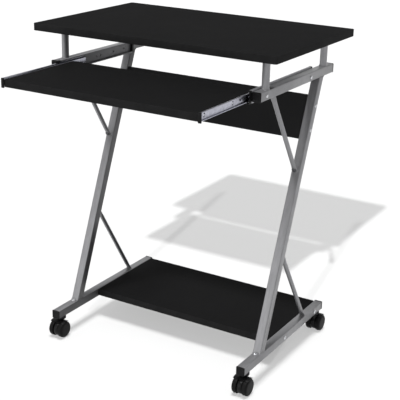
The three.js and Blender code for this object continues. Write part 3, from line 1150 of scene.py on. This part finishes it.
    def cap(self, node: str, end: End) -> None:
        """Build an end cap: crowned rim outside, plug inside the tube.

        Args:
            node: The CAD cap that it stands for.
            end: Which way it faces.
        """
        low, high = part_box(node)
        mid, size = (low + high) / 2, high.x - low.x + 2 * self.cap_lip
        face = low.y if end is End.FRONT else high.y
        s, depth = end.value, self.cap_depth
        stations = [
            (size - 8.6 * MM, 0.9 * MM, -0.55 * MM),
            (size - 7.4 * MM, 1.2 * MM, -0.5 * MM),
            (size - 6.4 * MM, 1.5 * MM, 0.0),
            (size - 1.2 * MM, 1.6 * MM, 0.0),
            (size - 0.4 * MM, 2.0 * MM, -0.35 * MM),
            (size, 2.2 * MM, -0.8 * MM),
            (size, 2.2 * MM, -1.5 * MM),
            (size - 3.6 * MM, 1.0 * MM, -1.5 * MM),
            (size - 3.6 * MM, 1.0 * MM, -depth + 0.8 * MM),
            (size - 5.0 * MM, 0.8 * MM, -depth),
        ]
        rings = blocks(mid, [(w, w, r, face + s * out) for w, r, out in stations])
        piece = Form().loft(rings).build(f"{node}_moulding", 32)
        SHOP.put(piece, "frame", Finish.CAP, Slot.CAP, [node])

    def fix(self, name: str, screw: Screw, seat: Vector, out: Vector, *nodes: str) -> None:
        """Put a bright screw or bolt on the frame that stands for the CAD nodes."""
        SHOP.put(screw.head(name, seat, out), "frame", Finish.BOLT, Slot.BOLT, nodes)

    def bolts(self) -> None:
        """Build the shelf bolts, the foot bolt, and the slide's and the panel's screws."""
        tag, out = self.side.tag, X * self.side.value
        outside = self.x + self.side.value * self.tube / 2
        for end in End:
            node = f"shelf_bolt_{tag}_{end.tag}"
            mid = middle(node)
            bolt = Screw(5.0 * MM, 2.6 * MM, drive=Drive.HEX)
            self.fix(f"{node}_head", bolt, Vector((outside, mid.y, mid.z)), out, node)
        node = f"foot_bolt_{tag}"
        low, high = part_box(node)
        mid = (low + high) / 2
        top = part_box(f"rail_{tag}")[1].z
        bolt = Screw(4.5 * MM, high.z - top, drive=Drive.HEX)
        self.fix(f"{node}_head", bolt, Vector((mid.x, mid.y, top)), Z, node)
        low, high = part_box(f"beam_{tag}")
        face = high.x if self.side is Side.RIGHT else low.x
        slide_z = middle(f"slide_outer_{tag}").z
        for i, offset in enumerate(self.slide_screws):
            seat = Vector((face, low.y + offset, slide_z))
            self.fix(f"slide_screw_{tag}_{i}", Screw(4.0 * MM, 2.0 * MM), seat, out)
        line = self.leg_line()
        for i, rise in enumerate((-self.panel_screw_rise, self.panel_screw_rise)):
            z = middle("back_panel").z + rise
            seat = Vector((outside, line.middle(z), z))
            self.fix(f"panel_screw_{tag}_{i}", Screw(3.8 * MM, 1.9 * MM), seat, out)

    def build(self) -> None:
        """Build the whole side frame."""
        tag = self.side.tag
        self.lying(f"rail_{tag}")
        self.lying(f"beam_{tag}")
        self.leg()
        self.brace(f"lower_brace_{tag}")
        self.brace(f"upper_brace_{tag}")
        for end in End:
            self.post(end)
            self.cap(f"rail_cap_{tag}_{end.tag}", end)
            self.cap(f"beam_cap_{tag}_{end.tag}", end)
        self.bolts()


# ---- Boards ----


@dataclass
class Board:
    """A faced board with a glued band round its edge."""

    node: str
    body: str
    size: Vector
    to_desk: Matrix
    corner: float = 1.2 * MM
    band: float = 1.0 * MM
    ease: float = 0.9 * MM
    groove: float = 0.12 * MM
    overlap: float = 0.02 * MM
    least_corner: float = 0.15 * MM

    def ring(self, inset: float, z: float, corner: float) -> Ring:
        """An outline of the board.

        Args:
            inset: How far it is drawn in.
            z: Its height from the board's middle.
            corner: Its corner radius.

        Returns:
            The ring.
        """
        wide, deep = self.size.x - 2 * inset, self.size.y - 2 * inset
        outline = rounded_rectangle(wide, deep, max(corner, self.least_corner), 6)
        return [self.to_desk @ Vector((a, b, z)) for a, b in outline]

    def build(self) -> None:
        """Build the faced core and its edge band."""
        half, g, b, c = self.size.z / 2, self.groove, self.band, self.corner
        core = [
            self.ring(b + g, -half, c - b),
            self.ring(b, -half + g, c - b),
            self.ring(b, half - g, c - b),
            self.ring(b + g, half, c - b),
        ]
        face = Form().loft(core).build(f"{self.node}_core", 25)
        SHOP.put(face, self.body, Finish.BOARD, Slot.BOARD, [self.node])
        e, steps, under = self.ease, 4, b - self.overlap
        rings = [self.ring(under, -half + g, c - b), self.ring(b - g, -half, c - b + g)]
        for i in range(steps + 1):
            a = i / steps * pi / 2
            rings.append(self.ring(e * (1 - sin(a)), -half + e * (1 - cos(a)), c - e * (1 - sin(a))))
        for i in range(steps + 1):
            a = i / steps * pi / 2
            rings.append(self.ring(e * (1 - cos(a)), half - e * (1 - sin(a)), c - e * (1 - cos(a))))
        rings += [self.ring(b - g, half, c - b + g), self.ring(under, half - g, c - b)]
        band = Form().loft(rings, joined=True).build(f"{self.node}_band", 40)
        SHOP.put(band, self.body, Finish.BAND, Slot.BOARD)


def flat_board(node: str, body: str, corner: float) -> Board:
    """A level board the size of its CAD node's box.

    Args:
        node: The CAD board.
        body: The body it moves with.
        corner: Radius of its plan corners.

    Returns:
        The board, ready to build.
    """
    low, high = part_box(node)
    return Board(node, body, high - low, Matrix.Translation((low + high) / 2), corner)


def tilted_panel(node: str, body: str, corner: float) -> Board:
    """The back panel, sized and turned from its CAD node's eight corners.

    Args:
        node: The CAD panel.
        body: The body it moves with.
        corner: Radius of its corners.

    Returns:
        The board, ready to build.
    """
    points = [v.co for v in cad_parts[node].data.vertices]
    centre = middle(node)
    right = [p for p in points if p.x > centre.x]
    lowest = min(right, key=lambda p: p.z)
    away = (p - lowest for p in right if (p - lowest).length > 1 * MM)
    edges = sorted(away, key=lambda edge: edge.length)
    thin, tall = edges[0], next(edge for edge in edges if edge.length > 3 * edges[0].length)
    up, back = tall.normalized(), thin.normalized()
    if back.y < 0:
        back = -back
    width = max(p.x for p in points) - min(p.x for p in points)
    turn = Matrix((X, up, X.cross(up))).transposed().to_4x4()
    size = Vector((width, tall.length, thin.length))
    return Board(node, body, size, Matrix.Translation(centre) @ turn, corner)


# ---- Telescopic slides ----


@dataclass
class BentStrip:
    """A strip of sheet bent to a section: corners in X and Z, rounded, with a thickness."""

    corners: list[Point2]
    sheet: float
    bend: float
    steps: int = 4

    def skins(self) -> tuple[list[Point2], list[Point2]]:
        """Both skins of the section.

        Returns:
            The points of one skin and of the other, in step.
        """
        path: list[Vector] = []
        pts = [Vector((a, b)) for a, b in self.corners]
        path.append(pts[0])
        for before, at, after in zip(pts, pts[1:], pts[2:]):
            a, b = (before - at).normalized(), (after - at).normalized()
            half = a.angle(b) / 2
            back = self.bend / tan(half)
            centre = at + (a + b).normalized() * (self.bend / sin(half))
            start, end = at + a * back - centre, at + b * back - centre
            total = start.angle_signed(end)
            for i in range(self.steps + 1):
                turn = -total * i / self.steps
                c, s = cos(turn), sin(turn)
                path.append(centre + Vector((start.x * c - start.y * s, start.x * s + start.y * c)))
        path.append(pts[-1])
        left, right = [], []
        for i, at in enumerate(path):
            ahead, behind = path[min(i + 1, len(path) - 1)], path[max(i - 1, 0)]
            along = (ahead - behind).normalized()
            normal = Vector((-along.y, along.x)) * (self.sheet / 2)
            left.append((at.x + normal.x, at.y + normal.y))
            right.append((at.x - normal.x, at.y - normal.y))
        return left, right


@dataclass
class Slide:
    """One side's ball-bearing slide: outer channel, ball retainer and inner member."""

    side: Side
    sheet: float = 1.2 * MM
    retainer_sheet: float = 0.6 * MM
    ball_radius: float = 1.35 * MM
    ball_count: int = 9
    mouth_reach: float = 10.0 * MM
    hem: float = 2.2 * MM
    bend: float = 1.3 * MM
    cut_reach: float = 3 * MM
    tray_screws: int = 2
    # Shares of the outer member's length, and distances from the inner member's front.
    outer_holes: tuple[tuple[float, Point2], ...] = (
        (0.1, (5 * MM, 9 * MM)),
        (0.3, (9 * MM, 4.4 * MM)),
        (0.5, (4.4 * MM, 4.4 * MM)),
        (0.56, (4.4 * MM, 8 * MM)),
        (0.74, (9 * MM, 4.4 * MM)),
        (0.9, (5 * MM, 5 * MM)),
    )
    inner_holes: tuple[tuple[float, Point2], ...] = (
        (18 * MM, (5.0 * MM, 9.0 * MM)),
        (127 * MM, (5.0 * MM, 9.0 * MM)),
        (158 * MM, (8 * MM, 4.2 * MM)),
        (190 * MM, (8 * MM, 4.2 * MM)),
        (236 * MM, (8 * MM, 4.2 * MM)),
    )

    def place(self, node: str) -> tuple[Vector, Vector, float, float]:
        """Where a CAD member of the slide is.

        Args:
            node: The member's node, without its side.

        Returns:
            Its box's corners, and how near to and far from the middle plane it lies.
        """
        low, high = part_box(f"{node}_{self.side.tag}")
        return low, high, min(abs(low.x), abs(high.x)), max(abs(low.x), abs(high.x))

    @property
    def z(self) -> float:
        """Height of the slide's axis."""
        low, high, _, _ = self.place("slide_outer")
        return (low.z + high.z) / 2

    def member(self, name: str, strip: BentStrip, span: Point2) -> bpy.types.Object:
        """Run a bent strip along Y.

        Args:
            name: The piece's name.
            strip: Its section about the slide's axis height, drawn for the right side.
            span: Start and end along Y.

        Returns:
            The member, before its holes are cut.
        """
        s, z = self.side.value, self.z
        skins = [[[Vector((s * a, y, z + b)) for a, b in skin] for y in span] for skin in strip.skins()]
        return Form().strip(*skins).build(name, 30)

    def pierce(
        self, piece: bpy.types.Object, web: float, holes: Sequence[tuple[float, Point2]]
    ) -> bpy.types.Object:
        """Cut long holes through a member's web.

        Args:
            piece: The member.
            web: The web's distance from the middle plane.
            holes: For each hole its middle along Y, and its length along Y and height.

        Returns:
            The member.
        """
        x, z, cuts = self.side.value * web, self.z, []
        for y, (w, h) in holes:
            outline = rounded_rectangle(w, h, min(w, h) / 2 * 0.98, 5)
            ends = (-self.cut_reach, self.cut_reach)
            rings = [[Vector((x + dx, y + a, z + b)) for a, b in outline] for dx in ends]
            cuts.append(Form().loft(rings).build("slot_cut"))
        return combine(piece, cuts, Joinery.CUT, 30)

    def stops(self, section: BentStrip) -> None:
        """Build the black sleeve at the channel's mouth, a dark piece put there as painted shade, and the
        black stop at its rear end.

        Args:
            section: The sleeve's section.
        """
        tag, (low, high, _, _) = self.side.tag, self.place("slide_outer")
        # The black sleeve is painted shade: a dark piece standing in for the shadow inside the channel's
        # mouth.
        sleeve = self.member(f"slide_mouth_{tag}", section, (low.y - self.mouth_reach, low.y))
        SHOP.put(sleeve, "frame", Finish.CAP, Slot.CAP)
        w, h, r = high.x - low.x, high.z - low.z, 1.2 * MM
        chamfer = 0.5 * MM
        stations = [
            (w, h, r, high.y + 0.2 * MM),
            (w, h, r, high.y + 5.2 * MM),
            (w - 2 * chamfer, h - 2 * chamfer, r - chamfer * 0.6, high.y + 6.0 * MM),
        ]
        stop = Form().loft(blocks((low + high) / 2, stations)).build(f"slide_rear_stop_{tag}", 40)
        SHOP.put(stop, "frame", Finish.CAP, Slot.CAP)

    def outer(self) -> None:
        """Build the outer member with its return lips, its sleeve and its stop."""
        node, t = f"slide_outer_{self.side.tag}", self.sheet
        low, high, mouth, wall = self.place("slide_outer")
        half, lip, web = (high.z - low.z) / 2 - t / 2, mouth + t / 2, wall - t / 2
        flanges = [(lip, -half), (web, -half), (web, half), (lip, half)]
        hems = [(lip, -half + self.hem), (lip, half - self.hem)]
        section = BentStrip([hems[0], *flanges, hems[1]], t, self.bend)
        piece = self.member(f"{node}_channel", section, (low.y, high.y))
        length = high.y - low.y
        piece = self.pierce(piece, web, [(low.y + length * at, size) for at, size in self.outer_holes])
        SHOP.put(piece, "frame", Finish.CHANNEL, Slot.ZINC, [node])
        self.stops(BentStrip(flanges, t, self.bend))

    def inner(self) -> None:
        """Build the inner member and the screws that hold it to the tray."""
        tag, t = self.side.tag, self.sheet
        node = f"slide_inner_{tag}"
        low, high, near, far = self.place("slide_inner")
        half, web = (high.z - low.z) / 2 - t / 2, near + t / 2
        section = BentStrip([(far, -half), (web, -half), (web, half), (far, half)], t, 2.2 * MM)
        piece = self.member(f"{node}_channel", section, (low.y, high.y))
        piece = self.pierce(piece, web, [(low.y + at, size) for at, size in self.inner_holes])
        SHOP.put(piece, "tray", Finish.ZINC, Slot.ZINC, [node])
        screw, s = Screw(2.3 * MM, 1.0 * MM, 0.5 * MM), self.side.value
        for i, (at, _) in enumerate(self.inner_holes[: self.tray_screws]):
            seat = Vector((s * (web - t / 2), low.y + at, self.z))
            head = screw.head(f"tray_screw_{tag}_{i}", seat, X * s)
            SHOP.put(head, "tray", Finish.BOLT, Slot.BOLT)

    def retainer(self) -> None:
        """Build the ball retainer and its balls."""
        tag, t, r = self.side.tag, self.retainer_sheet, self.ball_radius
        node, body = f"slide_retainer_{tag}", f"retainer_{tag}"
        low, high, near, far = self.place("slide_retainer")
        half, web = (high.z - low.z) / 2 - t / 2, far - t / 2
        section = BentStrip([(near, -half), (web, -half), (web, half), (near, half)], t, 0.8 * MM)
        piece = self.member(f"{node}_strip", section, (low.y, high.y))
        SHOP.put(piece, body, Finish.ZINC, Slot.ZINC, [node])
        balls = Form()
        profile = [(r * sin(pi * i / 8), -r * cos(pi * i / 8)) for i in range(9)]
        across = self.side.value * (near + far - 1.6 * MM) / 2
        for sign in (-1, 1):
            for i in range(self.ball_count):
                y = low.y + (high.y - low.y) * (i + 0.5) / self.ball_count
                balls.turn(profile, Vector((across, y, self.z + sign * half)), X, 12)
        SHOP.put(balls.build(f"slide_balls_{tag}", 60), body, Finish.BOLT, Slot.BOLT)

    def cap(self) -> None:
        """Build the black stop cap on the inner member's front end."""
        node = f"slide_cap_{self.side.tag}"
        low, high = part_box(node)
        w, h = high.x - low.x, high.z - low.z
        eased = [(0.7 * MM, 0.0), (0.15 * MM, 0.35 * MM), (0.0, 0.9 * MM), (0.0, high.y - low.y)]
        stations = [(w - 2 * i, h - 2 * i, 1.4 * MM - i * 0.6, low.y + y) for i, y in eased]
        piece = Form().loft(blocks((low + high) / 2, stations)).build(f"{node}_moulding", 40)
        SHOP.put(piece, "tray", Finish.CAP, Slot.CAP, [node])

    def build(self) -> None:
        """Build the whole slide."""
        self.outer()
        self.inner()
        self.retainer()
        self.cap()


# ---- Casters ----


@dataclass
class Caster:
    """A twin-wheel swivel caster."""

    end: End
    side: Side
    segments: int = 56
    shoulder: float = 4.5 * MM
    web_half: float = 5.5 * MM
    web_corner: float = 1.0 * MM
    fender_arc: Point2 = (60.0, 120.0)
    web_arc: Point2 = (-50.0, 230.0)
    hub_radius: float = 11.0 * MM
    boss_radius: float = 6.2 * MM
    boss_length: float = 16 * MM
    pin_radius: float = 3.9 * MM
    pin_length: float = 13.5 * MM
    web_recess: float = 2.0 * MM
    flange: float = 7.0 * MM

    @property
    def name(self) -> str:
        """The caster's name, which is also its body's."""
        return f"caster_{self.end.tag}_{self.side.tag}"

    def sweep(self, section: Sequence[Point2], arc: Point2, steps: int) -> Form:
        """Sweep a section of (across, out) pairs round the axle.

        Args:
            section: The section.
            arc: Start and end in degrees, from the back upwards.
            steps: Segments along the arc.

        Returns:
            The swept form.
        """
        axle, rings = middle(f"{self.name}_axle"), []
        for i in range(steps + 1):
            a = radians(arc[0] + (arc[1] - arc[0]) * i / steps)
            rings.append([axle + X * x + (Y * cos(a) + Z * sin(a)) * out for x, out in section])
        return Form().loft(rings)

    def hood(self) -> None:
        """Build the hood: a web between the wheels, a fender over them and a stem boss."""
        low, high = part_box(f"{self.name}_hood")
        stem = middle(f"{self.name}_stem")
        r = middle(f"{self.name}_wheel_a").z
        half = (high.x - low.x) / 2
        inner, outer = r + 1.0 * MM, r + 2.5 * MM
        w, c = self.web_half, self.web_corner
        section = [
            (-w, r - 5 * MM),
            *from_point(-w, inner, (0.0, -1.2), (-0.5, -0.3), (-1.4, 0.0)),
            *from_point(-half, inner, (0.8, 0.0), (0.1, 0.3), (0.0, 0.8)),
            *from_point(-half, outer, (0.5, -0.4), (1.6, -0.1)),
            (-w, outer),
        ]
        section += [(-a, b) for a, b in reversed(section)]
        top = self.sweep(section, self.fender_arc, 30).build(f"{self.name}_hood_shell", 40)
        edge = r - self.web_recess
        rim = from_point(-w, edge, (0.0, -1.6), (0.5, -0.5), (1.6, 0.0))
        face = [(-w, 7 * MM), *rim, (0.0, edge + 0.25 * MM)]
        face += [(-a, b) for a, b in reversed(face[:-1])]
        web = self.sweep(face, self.web_arc, 60).build("web_part", 40)
        hub_r, br, foot = self.hub_radius, self.boss_radius, -self.boss_length
        disc = [(0.0, -w), (hub_r - c, -w), (hub_r, -w + c), (hub_r, w - c), (hub_r - c, w), (0.0, w)]
        hub = Form().turn(disc, middle(f"{self.name}_axle"), X, 40)
        rod = [(0.0, foot), (br, foot), (br, -1.0 * MM), (br - 0.8 * MM, 0.0), (0.0, 0.0)]
        boss = Form().turn(rod, Vector((stem.x, stem.y, high.z)), Z, 28)
        solid = combine(top, [web, hub.build("hub_part"), boss.build("boss_part")], Joinery.ADD, 40)
        SHOP.put(solid, self.name, Finish.HOOD, Slot.HOOD, [f"{self.name}_hood"])

    def stem(self) -> None:
        """Build the stem's plate and its pin, seen under the rail."""
        node = f"{self.name}_stem"
        low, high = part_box(node)
        mid = (low + high) / 2
        r = (high.x - low.x) / 2
        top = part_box(f"rail_{self.side.tag}")[0].z
        profile = [
            (0.0, -self.flange - self.pin_length),
            (self.pin_radius, -self.flange - self.pin_length),
            (self.pin_radius, -self.flange),
            *from_point(r, -self.flange, (-1.2, 0.0), (-0.4, 0.3), (0.0, 1.0)),
            *from_point(r, 0.0, (0.0, -2.2), (-0.25, -1.7), (-0.25, -0.4), (-0.6, 0.0)),
            (0.0, 0.0),
        ]
        form = Form().turn(profile, Vector((mid.x, mid.y, top)), Z, 40)
        SHOP.put(form.build(f"{node}_plate", 35), "frame", Finish.DARK_STEEL, Slot.STEM, [node])

    def axle(self) -> None:
        """Build the axle pin."""
        node = f"{self.name}_axle"
        low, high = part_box(node)
        mid, half, r = (low + high) / 2, (high.x - low.x) / 2, (high.z - low.z) / 2
        c = 0.4 * MM
        profile = [(0.0, -half), (r - c, -half), (r, -half + c), (r, half - c), (r - c, half), (0.0, half)]
        pin = Form().turn(profile, mid, X, 24).build(f"{node}_pin", 35)
        SHOP.put(pin, self.name, Finish.DARK_STEEL, Slot.STEM, [node])

    def wheel(self, letter: str) -> None:
        """Build a wheel: crowned tread, grooved face and domed hub cover.

        Args:
            letter: The wheel's letter in its node's name.
        """
        node = f"{self.name}_wheel_{letter}"
        low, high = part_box(node)
        mid, r, wide = (low + high) / 2, (high.z - low.z) / 2, high.x - low.x
        sign = -1 if letter == "a" else 1
        shoulder = self.shoulder
        inner = mid.x - sign * wide / 2
        top = r - shoulder
        turns = [pi / 2 * i / 8 for i in range(1, 8)]
        profile = [
            *from_point(0.0, 0.0, (0.0, 8.2), (3.1, 8.2), (3.1, 0.0), (6.0, 0.0)),
            *from_point(0.0, 0.0, (6.6, 1.2), (15.8, 1.2), (16.4, 0.0)),
            *from_point(r, 0.0, (-1.5, 0.0), (-0.4, 0.5), (-0.05, 1.5), (0.0, 3.2)),
            (r, wide - shoulder),
            *[(r - shoulder * (1 - cos(a)), wide - shoulder * (1 - sin(a))) for a in turns],
            *from_point(top, wide, (0.0, -0.05), (-0.3, -0.6), (-0.9, -0.6), (-1.2, -0.1), (-5.0, 0.0)),
            (0.0, wide),
        ]
        form = Form().turn(profile, Vector((inner, mid.y, mid.z)), X * sign, self.segments)
        SHOP.put(form.build(f"{node}_moulding", 32), node, Finish.WHEEL, Slot.WHEEL, [node])

    def build(self) -> None:
        """Build the whole caster."""
        self.stem()
        self.hood()
        self.axle()
        self.wheel("a")
        self.wheel("b")


# ---- Studio ----


@dataclass(frozen=True)
class SunLamp:
    """One distant lamp: where it shines from, how strong and how soft it is."""

    name: str
    power: float
    come_from: tuple[float, float, float]
    softness: float

    def build(self) -> bpy.types.Object:
        """Make the lamp.

        Returns:
            Its object.
        """
        lamp = bpy.data.lights.new(self.name, "SUN")
        lamp.energy = self.power
        lamp.angle = radians(self.softness)
        made = bpy.data.objects.new(self.name, lamp)
        made.rotation_mode = "QUATERNION"
        made.rotation_quaternion = Vector(self.come_from).to_track_quat("Z", "Y")
        bpy.context.scene.collection.objects.link(made)
        return made


@dataclass
class Studio:
    """Floor, lights and camera."""

    floor_half: float = 20.0
    # Grey level of the surround for each height of direction, from level to straight up.
    sky: tuple[Point2, ...] = ((0.0, 1.0), (0.08, 0.95), (0.25, 0.68), (0.65, 0.42), (1.0, 0.38))
    floor_key: SunLamp = SunLamp("floor_key", 5.65, (0.30, -1.28, 1.0), 1.2)
    floor_top: SunLamp = SunLamp("floor_top", 4.0, (0.0, 0.0, 1.0), 20.0)
    floor_legs: SunLamp = SunLamp("floor_legs", 1.4, (0.30, -1.28, 1.0), 1.2)
    desk_top: SunLamp = SunLamp("desk_top", 2.45, (-0.12, -0.25, 1.0), 14.0)
    desk_front: SunLamp = SunLamp("desk_front", 0.5, (-0.45, -1.0, 0.3), 40.0)
    low_down: tuple[str, ...] = ("rail_", "bottom_shelf", "shelf_bolt", "foot_bolt", "caster_")
    thin_shade: tuple[str, ...] = ("leg_", "lower_brace", "panel_screw")
    wide_boards: tuple[str, ...] = ("tabletop", "keyboard_tray")
    eye: tuple[float, float, float] = (1.1556, -1.8578, 1.1486)
    yaw: float = 30.29
    pitch: float = 19.58
    roll: float = 1.48
    lens: float = 91.8
    sensor: float = 36.0
    far: float = 200.0

    def floor(self) -> bpy.types.Object:
        """Lay the floor.

        Returns:
            The floor.
        """
        h = self.floor_half
        form = Form()
        form.verts = [Vector((a * h, b * h, 0.0)) for a, b in NEAR_CORNERS]
        form.faces = [[0, 1, 2, 3]]
        floor = form.build("studio_floor")
        floor.data.materials.append(material(Finish.FLOOR))
        return floor

    def surround(self) -> None:
        """Set the white surround, brighter low down than overhead."""
        world = bpy.data.worlds.new("studio_surround")
        bpy.context.scene.world = world
        world.use_nodes = True
        tree = world.node_tree
        back = tree.nodes["Background"]
        place = tree.nodes.new("ShaderNodeTexCoord")
        split = tree.nodes.new("ShaderNodeSeparateXYZ")
        tree.links.new(place.outputs["Generated"], split.inputs["Vector"])
        ramp = tree.nodes.new("ShaderNodeValToRGB")
        tree.links.new(split.outputs["Z"], ramp.inputs["Fac"])
        tree.links.new(ramp.outputs["Color"], back.inputs["Color"])
        points = ramp.color_ramp.elements
        while len(points) < len(self.sky):
            points.new(1.0)
        for point, (at, level) in zip(points, self.sky):
            point.position = at
            point.color = (level, level, level, 1.0)

    def lights(self, floor: bpy.types.Object, pieces: Sequence[bpy.types.Object]) -> None:
        """Set the suns, what each one lights and what each one's shadow comes from.

        Args:
            floor: The floor.
            pieces: Every piece of the desk.
        """
        legs = [p for p in pieces if p.name.startswith(self.thin_shade)]
        high = [p for p in pieces if p not in legs and not p.name.startswith(self.low_down)]
        low = [p for p in pieces if p.name.startswith(self.low_down)]
        small = [p for p in pieces if not p.name.startswith(self.wide_boards)]
        for lamp, lit, shade in (
            (self.floor_key, [floor], high),
            (self.floor_top, [floor], low),
            (self.floor_legs, [floor], legs),
            (self.desk_front, pieces, small),
            (self.desk_top, pieces, small),
        ):
            linking = lamp.build().light_linking
            linking.receiver_collection = self.group(f"lit_by_{lamp.name}", lit)
            linking.blocker_collection = self.group(f"shade_of_{lamp.name}", shade)

    def group(self, name: str, members: Sequence[bpy.types.Object]) -> bpy.types.Collection:
        """Gather objects in a new collection.

        Args:
            name: The collection's name.
            members: The objects.

        Returns:
            The collection.
        """
        made = bpy.data.collections.new(name)
        for member in members:
            made.objects.link(member)
        return made

    def camera(self) -> None:
        """Place the camera."""
        yaw, pitch, roll = radians(self.yaw), radians(self.pitch), radians(self.roll)
        ahead = Vector((-sin(yaw) * cos(pitch), cos(yaw) * cos(pitch), -sin(pitch)))
        right = Vector((cos(yaw), sin(yaw), 0.0))
        up = right.cross(ahead)
        right, up = right * cos(roll) + up * sin(roll), up * cos(roll) - right * sin(roll)
        data = bpy.data.cameras.new("camera")
        data.lens = self.lens
        data.sensor_width = self.sensor
        data.clip_end = self.far
        eye = bpy.data.objects.new("camera", data)
        pose = Matrix((right, up, -ahead)).transposed().to_4x4()
        pose.translation = Vector(self.eye)
        eye.matrix_world = pose
        bpy.context.scene.collection.objects.link(eye)
        bpy.context.scene.camera = eye

    def build(self, pieces: Sequence[bpy.types.Object]) -> None:
        """Set up the whole studio.

        Args:
            pieces: Every piece of the desk.
        """
        floor = self.floor()
        self.surround()
        self.lights(floor, pieces)
        self.camera()
        bpy.context.scene.view_settings.view_transform = "Standard"
        bpy.context.scene.view_settings.look = "None"


def main() -> None:
    """Build the desk and its studio."""
    for side in Side:
        SideFrame(side).build()
        Slide(side).build()
    flat_board("tabletop", "frame", 6 * MM).build()
    flat_board("bottom_shelf", "frame", 1.4 * MM).build()
    flat_board("keyboard_tray", "tray", 1.4 * MM).build()
    tilted_panel("back_panel", "frame", 1.4 * MM).build()
    for end in End:
        for side in Side:
            Caster(end, side).build()
    Studio().build(SHOP.pieces)
    log.info("%d pieces", len(SHOP.pieces))


if __name__ == "__main__":
    main()
